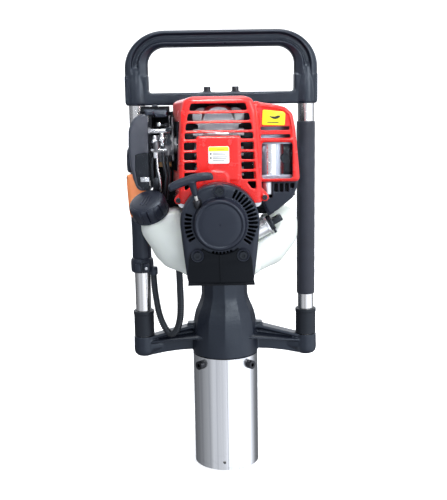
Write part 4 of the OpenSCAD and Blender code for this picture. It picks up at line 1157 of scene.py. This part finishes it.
def guard():
    out = [(-47.6, 321.0), (40.2, 321.0), (38.8, 327.2), (37.6, 345), (36.8, 356), (33.6, 364.2), (26.6, 367.6), (21.5, 366.6)]
    dip = arc_pts(EX, EZ, 39.5, -54, -126, 16)
    left = [(-30.5, 366.6), (-35.6, 367.6), (-42.6, 364.2), (-45.8, 356), (-46.6, 345), (-47.0, 327.2)]
    o = ccw(out + dip + left)
    holes = [circle(EX + s * 29.75, 361, 5.4, 32) for s in (-1, 1)]
    face = plate([o] + holes, -186.4, -182.0, 1.1, 3)
    shelf = box_mesh(-47.2, 39.8, -186.0, -156, 321.0, 324.6, 1.0)
    foot = sweep([(-47, -186.6, 323.6), (-20, -187.4, 323.2), (EX, -187.6, 323.0), (12, -187.4, 323.2), (39.6, -186.6, 323.6)], 1.5, 10, up=(0, 0, 1))
    ridge = box_mesh(EX - 1.1, EX + 1.1, -187.6, -185.5, 325, 362, 0.8)
    seat = [lathe([(5.6, -5.5), (8.0, -5.5), (8.3, 0.4), (7.7, 1.7), (6.4, 1.5), (5.6, 0.2)], (EX + s * 29.75, -186, 361), (0, -1, 0), 40) for s in (-1, 1)]
    back = plate([resample(fillet([(-44, 325), (36.5, 325), (35.5, 352), (-44.5, 352)], 2), 8)], -182.4, -181.6, 0.3)
    link("tank_guard_plate", joined(face, shelf, ridge, foot, back), "black_deep", B, "tank_guard", sharp=34)
    link("guard_screw_seats", joined(*seat), "black", B, sharp=34)
    # painted shade: dead-black discs at the bottom of the screw holes stand in for the shade in the recesses
    wells = [lathe([(0.1, 0), (5.4, 0), (5.8, -0.4), (5.8, -2.0)], (EX + s * 29.75, -185.0, 361), (0, -1, 0), 32) for s in (-1, 1)]
    link("guard_screw_well_shade", joined(*wells), "black_dead", B, sharp=34)


guard()


# =====================================================================
# starter grip and rope
# =====================================================================
def pull_grip():
    c = EYE + PULL_A * 29.5 + Vector((-1.5, 0, 0.5))
    tilt = math.radians(13.5)
    ux = Vector((math.cos(tilt), 0, math.sin(tilt)))
    uy = Vector((0, 1, 0))
    uz = Vector((-math.sin(tilt), 0, math.cos(tilt)))
    stations = [(-29.6, 1.2, 1.6), (-29.0, 3.2, 3.6), (-27.0, 4.6, 5.0), (-22, 5.0, 5.4), (-14, 4.9, 5.5), (-6, 4.9, 5.7), (2, 5.0, 5.8), (10, 5.0, 5.7), (18, 5.0, 5.5), (24, 4.9, 5.2), (27.6, 4.5, 4.6), (29.0, 3.2, 3.3), (29.4, 1.0, 1.1)]
    rings = []
    for s, ry, rz in stations:
        drop = -0.0045 * s * s + (0.9 if s > 0 else -0.4) * min(1, abs(s) / 10)
        ring = []
        for a in range(28):
            t = 2 * math.pi * a / 28
            cx = math.copysign(abs(math.cos(t)) ** 0.8, math.cos(t))
            sz = math.copysign(abs(math.sin(t)) ** 0.8, math.sin(t))
            ring.append(tuple(c + ux * s + uy * (ry * cx) + uz * (rz * sz + drop)))
        rings.append(ring)
    bar = loft(rings)
    stem = lathe([(2.2, 0), (3.6, 0.3), (4.1, 1.6), (4.3, 6), (4.6, 12), (5.2, 17), (6.4, 21)], EYE + PULL_A * 7.4, PULL_A, 32)
    me = fused(joined(bar, stem), 0.55, 5, 0.5)
    g = link("starter_grip_handle", me, "black", "starter_grip", "starter_grip", sharp=0)
    return g


pull_grip()


def pull_rope():
    a, b = EYE - PULL_A * 8.5, EYE + PULL_A * 13
    n = 90
    path = [a.lerp(b, i / n) for i in range(n + 1)]
    q = Vector((0, 0, 1)).rotation_difference(PULL_A)
    strands = []
    for k in range(3):
        pts = []
        for i, p in enumerate(path):
            t = 2 * math.pi * (i / 22 + k / 3)
            pts.append(p + q @ Vector((0.85 * math.cos(t), 0.85 * math.sin(t), 0)))
        strands.append(sweep(pts, 1.05, 10))
    me = joined(*strands)
    ob = link("starter_rope_cord", me, "rope", None, sharp=0)
    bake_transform(ob)
    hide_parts("starter_rope")
    return ob


pull_rope()


# =====================================================================
# fuel tank, fuel cap, oil cap
# =====================================================================
def hull(*balls):
    """the convex skin round a set of balls (x, y, z, r)"""
    bm = bmesh.new()
    for x, y, z, q in balls:
        bmesh.ops.create_icosphere(bm, subdivisions=4, radius=q, matrix=Matrix.Translation((x, y, z)))
    out = bmesh.ops.convex_hull(bm, input=bm.verts)
    skin = {f for f in out["geom"] if isinstance(f, bmesh.types.BMFace)}
    bmesh.ops.delete(bm, geom=[f for f in bm.faces if f not in skin], context="FACES")
    bmesh.ops.delete(bm, geom=[v for v in bm.verts if not v.link_faces], context="VERTS")
    me = bpy.data.meshes.new("hull")
    bm.to_mesh(me)
    bm.free()
    return me


def tank():
    me = NODES["fuel_tank"].data.copy()
    me.transform(Matrix.Scale(1000, 4))
    for v in me.vertices:
        c = Vector((-45 if v.co.x < 0 else 45, -97, 370))
        v.co = c + (v.co - c) * 1.035
        if v.co.x > 30 and v.co.z > 384:
            v.co.z = 384 + 0.72 * (v.co.z - 384)
    left = hull((-85, -97, 386, 27), (-66, -97, 366, 36), (-48, -97, 349, 25))
    right = hull((81.5, -72, 386, 24.5), (78, -73, 372, 27.5), (62, -78, 354, 28.5), (44, -86, 343, 22))
    me = fused(joined(me, left, right), 1.5, 22, 0.5)
    link("fuel_tank_moulding", me, "tank", B, "fuel_tank", sharp=0)


tank()


def fuel_cap():
    def warp(t, r, h):
        if r < 21 or h > 21.2:
            return r
        k = (t / (2 * math.pi) * 16) % 1.0
        d = min(k, 1 - k)
        return r - 1.7 * max(0.0, 1 - d / 0.09)
    prof = [(17.8, 1.4), (24.2, 1.4), (25.2, 2.0), (25.6, 3.4), (25.7, 15.6), (25.2, 19.0), (24.2, 21.0), (22.3, 22.4), (20.4, 22.9), (19.8, 22.6), (19.2, 22.9), (10, 23.2), (0.1, 23.25)]
    shell = lathe(prof, CAP_B, CAP_A, 168, warp)
    # a skirt ring, and three raised bars on the top
    ring = lathe([(21, 0.6), (25.4, 0.6), (26.2, 1.4), (26.0, 2.9), (25.2, 3.4), (21, 3.4)], CAP_B, CAP_A, 96)
    q = Vector((0, 0, 1)).rotation_difference(CAP_A)
    bars = []
    for k, L in ((-4.6, 8.5), (0, 10.5), (4.6, 8.5)):
        m = box_mesh(-L, L, k - 0.95, k + 0.95, 22.6, 24.1, 0.5)
        m.transform(Matrix.Translation(CAP_B) @ q.to_matrix().to_4x4() @ Matrix.Rotation(math.radians(62), 4, "Z"))
        bars.append(m)
    link("fuel_cap_ribbed", joined(shell, ring, *bars), "black", "fuel_cap", "fuel_cap", sharp=30)


fuel_cap()


def oil_cap():
    q = Vector((0, 0, 1)).rotation_difference(OIL_A).to_matrix().to_4x4()
    T = Matrix.Translation(OIL_B) @ q
    disc = lathe([(7.0, 1.4), (10.6, 1.4), (11.1, 2.0), (11.1, 5.4), (10.4, 6.4), (3.0, 6.6)], OIL_B, OIL_A, 48, lambda t, r, h: r - (0.4 if int(t / (2 * math.pi) * 24) % 2 and r > 10.9 else 0))
    # a hooped tab for two fingers
    hoop_o = fillet([(-9.0, 5.6), (9.0, 5.6), (8.6, 20.5), (-8.6, 20.5)], [1, 1, 3, 3], 4)
    hoop_i = fillet([(-5.2, 8.6), (5.2, 8.6), (4.9, 16.4), (-4.9, 16.4)], 1.4, 4)
    tab = plate([hoop_o, hoop_i], -4.2, 4.2, 1.1)
    tab.transform(T @ Matrix.Rotation(math.radians(90), 4, "Z") @ Matrix.Rotation(math.radians(0), 4, "X"))
    hook = box_mesh(9.0, 15.5, -4.5, 4.5, 1.4, 5.2, 1.0)
    hook.transform(T)
    stick = lathe([(0.1, -28), (2.6, -28), (3.0, -27), (3.0, -10), (7.3, -10), (7.3, 1.5), (0.1, 1.5)], OIL_B, OIL_A, 32)
    link("oil_cap_tab", joined(disc, tab, hook, stick), "black_shiny", "oil_cap", "oil_cap", sharp=32)
    fl = lathe([(8.2, -3.2), (15.2, -3.2), (15.8, -2.8), (15.8, -0.6), (15.4, 0), (8.2, 0)], OIL_B, OIL_A, 64)
    link("oil_filler_flange", fl, "alu_bright", B)


oil_cap()


# =====================================================================
# air cleaner and carburettor
# =====================================================================
def air_cleaner():
    o = [(-84, 438.2), (-114.6, 438.2), (-119.4, 443), (-123.4, 455), (-127.0, 474), (-128.4, 500), (-127.6, 521), (-124, 532.0), (-118.0, 539.0), (-108, 543.4), (-84, 544.0)]
    o = resample(ccw(fillet(o, [5, 7, 6, 6, 6, 8, 8, 8, 8, 6, 5], 5)), 4)
    body = block(o, -106.5, -63, 4.6, 0.0)
    cav = block(resample(shrink(o, 2.6), 4), -103.6, -60, 2.4)
    side = prism([(-100.2, 420), (-60, 420), (-60, 560), (-100.2, 560)], -120, -50)
    low = prism(fillet([(-119.6, 489.0), (-90, 492.8), (-90, 430), (-110, 439.6), (-117.0, 445), (-120.4, 466)], 2.4, 4), -112, -105.2)
    me = boolean(body, [cav])
    me = boolean(me, [side])
    me = fused(boolean(me, [low]), 0.8, 3, 0.5, 0.5)
    link("air_cleaner_shell", me, "grey", B, "air_cleaner_cover", sharp=0)
    ins = fillet([(-119.2, 488.6), (-100.6, 491.2), (-100.6, 440.4), (-110.2, 440.4), (-116.8, 446), (-120.0, 467)], 2, 4)
    link("air_cleaner_inlay", block(resample(ins, 5), -106.2, -103, 1.0), "black_shiny", B)
    rim = [(x, -104.6, z) for x, z in fillet([(-101.4, 543.0), (-101.4, 492)], 0)]
    latch = joined(box_mesh(-112.6, -100.4, -109.4, -106.0, 450.8, 457.6, 0.9), box_mesh(-111.8, -101.6, -110.2, -109.0, 455.6, 457.2, 0.4), box_mesh(-107.5, -105.5, -110.4, -109.0, 451.2, 457.0, 0.5))
    link("air_cleaner_latch", latch, "zinc", B)
    # the intake snorkel and its ribs over the filter
    top = []
    for i, (x0, x1, z0, z1, y0) in enumerate(((-110, -72, 545, 551.5, -104), (-106, -98, 549, 553.4, -100), (-95, -88, 548.5, 555.0, -101), (-85, -74, 548.5, 553.0, -99), (-104, -92, 541, 547, -108), (-91, -74, 538, 545.6, -106), (-112, -106, 543, 548, -98))):
        top.append(box_mesh(x0, x1, y0, -80, z0, z1, 1.4))
    link("air_cleaner_snorkel", fused(joined(*top), 0.9, 3), "black", B, sharp=0)


air_cleaner()


def carb_details():
    """levers, nuts, hoses and the link rod between the air cleaner and the cylinder"""
    rod = joined(lathe([(0.1, 0), (3.1, 0), (3.4, 0.5), (3.4, 29), (3.1, 29.5), (0.1, 29.5)], (-99.0, -116, 520), (1, 0, 0), 24),
                 lathe([(0.1, 0), (4.6, 0), (4.8, 0.4), (4.8, 3.2), (0.1, 3.2)], (-99.4, -116, 520), (1, 0, 0), 6))
    link("carb_cross_rod", rod, "steel", B)
    nuts = []
    for x, z, r in ((-90.5, 506.5, 4.6), (-80.5, 509.5, 4.9), (-80.5, 502.5, 3.9), (-89.0, 499.5, 3.4)):
        nuts.append(lathe([(0.1, 0), (r, 0), (r, 3.4), (r * 0.86, 4.0), (0.1, 4.0)], (x, -119, z - 2), (0, 0, 1), 6))
        nuts.append(lathe([(0.1, 0), (r * 0.62, 0), (r * 0.62, 5.6), (r * 0.5, 6.2), (0.1, 6.2)], (x, -119, z + 1.5), (0, 0, 1), 20))
    nuts.append(box_mesh(-96, -75, -123, -112, 493.6, 496.4, 0.5))
    nuts.append(box_mesh(-92.6, -88.4, -122, -117.4, 484, 495, 0.7))
    nuts.append(lathe([(0.1, 0), (2.6, 0), (2.9, 0.8), (2.2, 2.6), (0.1, 3.0)], (-84.2, -116.8, 529), (0, -1, 0), 20))
    link("carb_fittings", joined(*nuts), "zinc", B)
    wires = []
    wires.append((sweep(spline([(-88.4, -120, 499), (-88.2, -121, 486), (-87.4, -122, 470), (-85.0, -122, 456), (-84.4, -119, 446), (-86.0, -112, 436), (-88, -100, 428)], 8), 1.5, 12), "zinc"))
    wires.append((sweep(spline([(-80.4, -119, 503), (-80.0, -120.5, 488), (-79.0, -121, 474), (-76.4, -120, 462), (-77.6, -116, 448), (-80.6, -108, 436), (-82, -98, 424)], 8), 2.3, 12), "hose"))
    wires.append((sweep(spline([(-75.0, -114, 486), (-74.4, -116, 474), (-72.6, -115, 462), (-73.6, -112, 450), (-76.6, -104, 438), (-78, -96, 426)], 8), 2.6, 12), "hose"))
    wires.append((sweep(spline([(-94.6, -112, 484), (-95.4, -113, 470), (-94.6, -113, 458), (-92.6, -110, 447), (-90, -100, 436)], 8), 2.2, 12), "hose"))
    for i, (m, mat) in enumerate(wires):
        link("carb_line_%d" % i, m, mat, B, sharp=0)
    plate_ = joined(box_mesh(-71.4, -70.4, -113, -80, 487.5, 540, 0.2), box_mesh(-71.4, -66, -112.5, -111.4, 488, 495, 0.3), box_mesh(-71.4, -66, -112.5, -111.4, 520, 527, 0.3))
    link("carb_heat_shield", plate_, "screw", B)
    dark = joined(box_mesh(-99, -72, -85.5, -74.5, 446, 478, 2.0), box_mesh(-97, -73, -78.2, -74.0, 515, 540, 1.0))
    link("carb_body_dark", dark, "black_dead", B)


carb_details()


# =====================================================================
# muffler outlet, guard and its bracket
# =====================================================================
def muffler():
    # the bright wrapped shell edge and the black end panel seen through the window
    band = loft([[(66.0 + 9.6 * math.cos(t), -121.0 + 5.6 * math.sin(t) - 0.0, z) for t in [math.radians(a) for a in range(180, 361, 15)]] + [(75.6, -112, z), (56.4, -112, z)] for z in (457.5, 460, 500, 503.5)])
    link("muffler_wrap", band, "alu_bright", B, sharp=40)
    left = box_mesh(52.6, 65.2, -124.8, -110, 458.2, 503.0, 1.0)
    link("muffler_side_panel", left, "heat_dark", B)
    end = joined(box_mesh(75.8, 99.5, -120, -106, 456, 504.6, 0.8), lathe([(4.6, 0), (6.2, 0), (6.5, 0.4), (6.5, 1.4), (6.0, 1.9), (4.9, 1.8)], (84.6, -120, 481), (0, -1, 0), 40))
    link("muffler_end_panel", end, "black_shiny", B)
    lips = joined(box_mesh(52.4, 93.0, -127.6, -112, 500.8, 503.6, 0.5), box_mesh(52.4, 93.0, -127.6, -112, 456.6, 459.6, 0.5))
    link("muffler_lips", lips, "heat", B)
    o = resample(ccw(fillet([(54.0, 451.6), (103.6, 451.6), (99.8, 438), (95.6, 428), (75.6, 411.4), (63.0, 404.6), (56.0, 418)], [3.2, 3.4, 4, 5, 5, 3.4, 4], 5)), 3)
    solid = block(o, -121.6, -98.5, 3.0)
    slots = [prism(fillet([(x, 436.0), (x + 4.8, 436.0), (x + 4.8, 447.4), (x, 447.4)], 1.0, 3), -126, -110) for x in (69.8, 77.2, 84.6)]
    slots.append(prism(fillet([(91.6, 440.6), (96.4, 440.6), (97.2, 447.4), (91.6, 447.4)], 0.8, 3), -126, -110))
    slots.append(prism([(48, 428), (67, 428), (67, 449.4), (48, 449.4)], -126, -106))
    solid = fused(boolean(boolean(solid, [block(resample(shrink(o, 2.4), 3), -118.6, -90, 2.0)]), slots), 0.6, 2, 0.5, 0.5)
    link("muffler_guard_shell", solid, "black", B, "muffler_guard", sharp=0)
    lower = fused(joined(box_mesh(60, 98, -113, -84, 428, 456, 3.0), box_mesh(56, 80, -110, -86, 412, 432, 3.0)), 0.9, 3, 0.5, 0.5)
    link("muffler_lower_shell", lower, "heat", B, sharp=0)
    # painted shade: a dead-black plate behind the guard slots stands in for the shade between the fins and hides the
    # bright muffler behind
    link("muffler_guard_shade_backing", box_mesh(67.4, 98.6, -115.6, -113.6, 430, 450, 0.5), "black_dead", B, sharp=32)
    stay = prism(fillet([(50.5, 452), (58, 452), (63, 428), (70.5, 408), (62, 402), (54, 420)], 2, 3), -118.4, -116.6)
    link("muffler_stay", bevelled(stay, 0.5, 2, 50), "black", B, sharp=32)
    port = lathe([(0.1, 0), (5.4, 0), (6.6, 1.0), (7.0, 3.0), (7.0, 17), (0.1, 17)], (60.6, -117, 432), (0, 0, 1), 32)
    link("exhaust_port", port, "alu", B)


muffler()


# =====================================================================
# throttle handle on the left tube
# =====================================================================
def throttle():
    x = -TX
    barrel_ = lathe([(12.6, 0), (14.2, 0.4), (14.6, 1.6), (14.3, 14), (14.0, 30), (14.2, 48), (14.6, 60), (14.5, 66), (13.6, 70), (13.4, 76), (13.4, 132), (12.6, 132.5)], (x, 0, 325.6), (0, 0, 1), 56)
    # split clamp collar with eight flats and two small screws
    def flats(t, r, h):
        if r < 15.5:
            return r
        d = (t % (math.pi / 4)) - math.pi / 8
        return r * (0.55 + 0.45 * math.cos(math.pi / 8) / math.cos(d))
    collar = lathe([(12.6, 0), (15.4, 0.3), (16.8, 1.4), (17.2, 4), (17.4, 12), (17.2, 18), (16.0, 21.6), (14.4, 22.4), (12.6, 22.6)], (x, 0, 303.6), (0, 0, 1), 96, flats)
    split = prism([(x + 1.0, 303), (x + 2.6, 303), (x + 2.6, 320.5), (x + 1.0, 320.5)], -22, -13)
    collar = boolean(collar, [split])
    lugs = [box_mesh(x + 4.0, x + 12.0, -20.8, -12, 306, 319, 1.4), box_mesh(x - 9.0, x - 0.6, -19.6, -12, 306, 319, 1.6)]
    cuff = lathe([(4.9, 0), (6.4, 0.3), (6.8, 1.4), (6.6, 10.6), (5.6, 12.2), (4.9, 12.4)], (-108, -3, 299.6), (0, 0, 1), 32)
    house = []
    # upper housing, a rounded body round the tube
    rings = []
    for h, wx, wy, cy in ((455.8, 13.4, 13.4, -0.5), (457.0, 15.6, 16.6, -1.6), (460, 16.8, 18.0, -2.0), (470, 17.2, 18.4, -2.0), (482, 17.0, 18.2, -2.0), (489.5, 16.2, 17.0, -1.4), (492.4, 14.4, 14.6, -0.6), (495.6, 13.6, 13.6, 0)):
        ring = []
        for a in range(48):
            t = 2 * math.pi * a / 48
            e = 0.62
            ring.append((x - 0.4 + wx * math.copysign(abs(math.cos(t)) ** e, math.cos(t)), cy + wy * math.copysign(abs(math.sin(t)) ** e, math.sin(t)), h))
        rings.append(ring)
    house = loft(rings)
    pin = joined(lathe([(0.1, 0), (2.9, 0.1), (3.2, 0.8), (3.2, 33.0), (2.9, 33.7), (0.1, 33.8)], (x - 17.2, -18, 449), (1, 0, 0), 28))
    link("throttle_grip_body", joined(barrel_, collar, *lugs, cuff, house), "black", B, "throttle_body", sharp=34)
    heads = [lathe([(0.1, 0), (2.4, 0), (2.6, 0.4), (2.6, 2.4), (2.2, 2.8), (1.2, 2.8), (1.0, 1.6), (0.1, 1.6)], (x + dx, -9.5, 322.8), (0.1, -0.5, 0.86), 20) for dx in (-6.5, 6.5)]
    heads.append(lathe([(0.1, 0), (2.3, 0), (2.3, 2.2), (1.9, 2.6), (0.1, 2.6)], (x + 8, -20.6, 312.5), (0, -1, 0), 20))
    link("throttle_collar_screws", joined(*heads), "zinc", B)
    link("throttle_pivot_pin", pin, "screw", B)


throttle()


def trigger():
    x = -TX
    # saddle shape: a curved shell with side cheeks, swept from the pivot to the tip
    st = [(455.0, -14.0, -22.5), (452, -12.5, -25.0), (446, -12.5, -27.6), (440, -14.0, -29.4), (430, -17.6, -31.6), (420, -19.6, -33.0), (410, -21.8, -34.2), (402, -23.6, -34.8), (396, -25.6, -34.8), (392.6, -28.2, -34.0), (391.0, -30.0, -32.2)]
    rings = []
    hw = [15.6, 16.4, 16.6, 16.4, 15.6, 14.8, 14.0, 13.2, 12.2, 10.4, 7.6]
    th = 2.6
    for (z, yb, yf), w in zip(st, hw):
        o = [(-w, yb), (-w, (yb + yf) / 2), (-w * 0.93, yf * 0.6 + yb * 0.4), (-w * 0.72, yf + 1.4), (-w * 0.38, yf + 0.2), (0, yf), (w * 0.38, yf + 0.2), (w * 0.72, yf + 1.4), (w * 0.93, yf * 0.6 + yb * 0.4), (w, (yb + yf) / 2), (w, yb)]
        i = [(w - th, yb), (w - th, (yb + yf) / 2), (w * 0.93 - th, yf * 0.6 + yb * 0.4 + 0.4), (w * 0.70 - th * 0.5, yf + 1.4 + th), (w * 0.36, yf + 0.4 + th), (0, yf + th), (-w * 0.36, yf + 0.4 + th), (-w * 0.70 + th * 0.5, yf + 1.4 + th), (-w * 0.93 + th, yf * 0.6 + yb * 0.4 + 0.4), (-w + th, (yb + yf) / 2), (-w + th, yb)]
        rings.append([(x - 0.8 + a, b, z) for a, b in o + i])
    me = loft(rings)
    me = evaluated(me, ("SUBSURF", dict(levels=2, render_levels=2)))
    link("throttle_trigger_saddle", me, "orange", "throttle_trigger", "throttle_trigger", sharp=0)


trigger()


# =====================================================================
# corrugated throttle conduit, held at both ends
# =====================================================================
CABLE = [(-108, -3, 303), (-107.6, -4, 292), (-105.6, -7, 270), (-100, -14, 240), (-91.5, -20, 220), (-82.5, -25, 211.5), (-73.5, -30, 218), (-67.4, -36, 238), (-65.6, -42, 262), (-65.6, -47, 285), (-66, -50, 310), (-68, -51.5, 340), (-71, -52, 375), (-76, -53, 405), (-83, -58, 426), (-90, -70, 437.5), (-92.5, -90, 437.5), (-91, -106, 441), (-89.4, -117.5, 452)]


def conduit():
    path = even(spline(CABLE, 14), 0.8)
    pat = [5.35, 5.3, 4.55, 4.55]
    me = sweep(path, lambda i: pat[i % 4], 18)
    inner = sweep(spline([(-89.4, -117.3, 450), (-88.8, -118.6, 456), (-88.8, -118.6, 480), (-88.8, -118.6, 491.6)], 6), 2.0, 14)
    end = lathe([(2.1, 0), (5.0, 0), (5.3, 0.5), (5.3, 6.5), (4.4, 8.0), (2.6, 9.5), (2.1, 9.5)], (-89.4, -117.6, 448.6), (0.05, -0.1, 1), 24)
    link("throttle_conduit", joined(me, inner, end), "hose", B, "throttle_cable", sharp=50)


conduit()
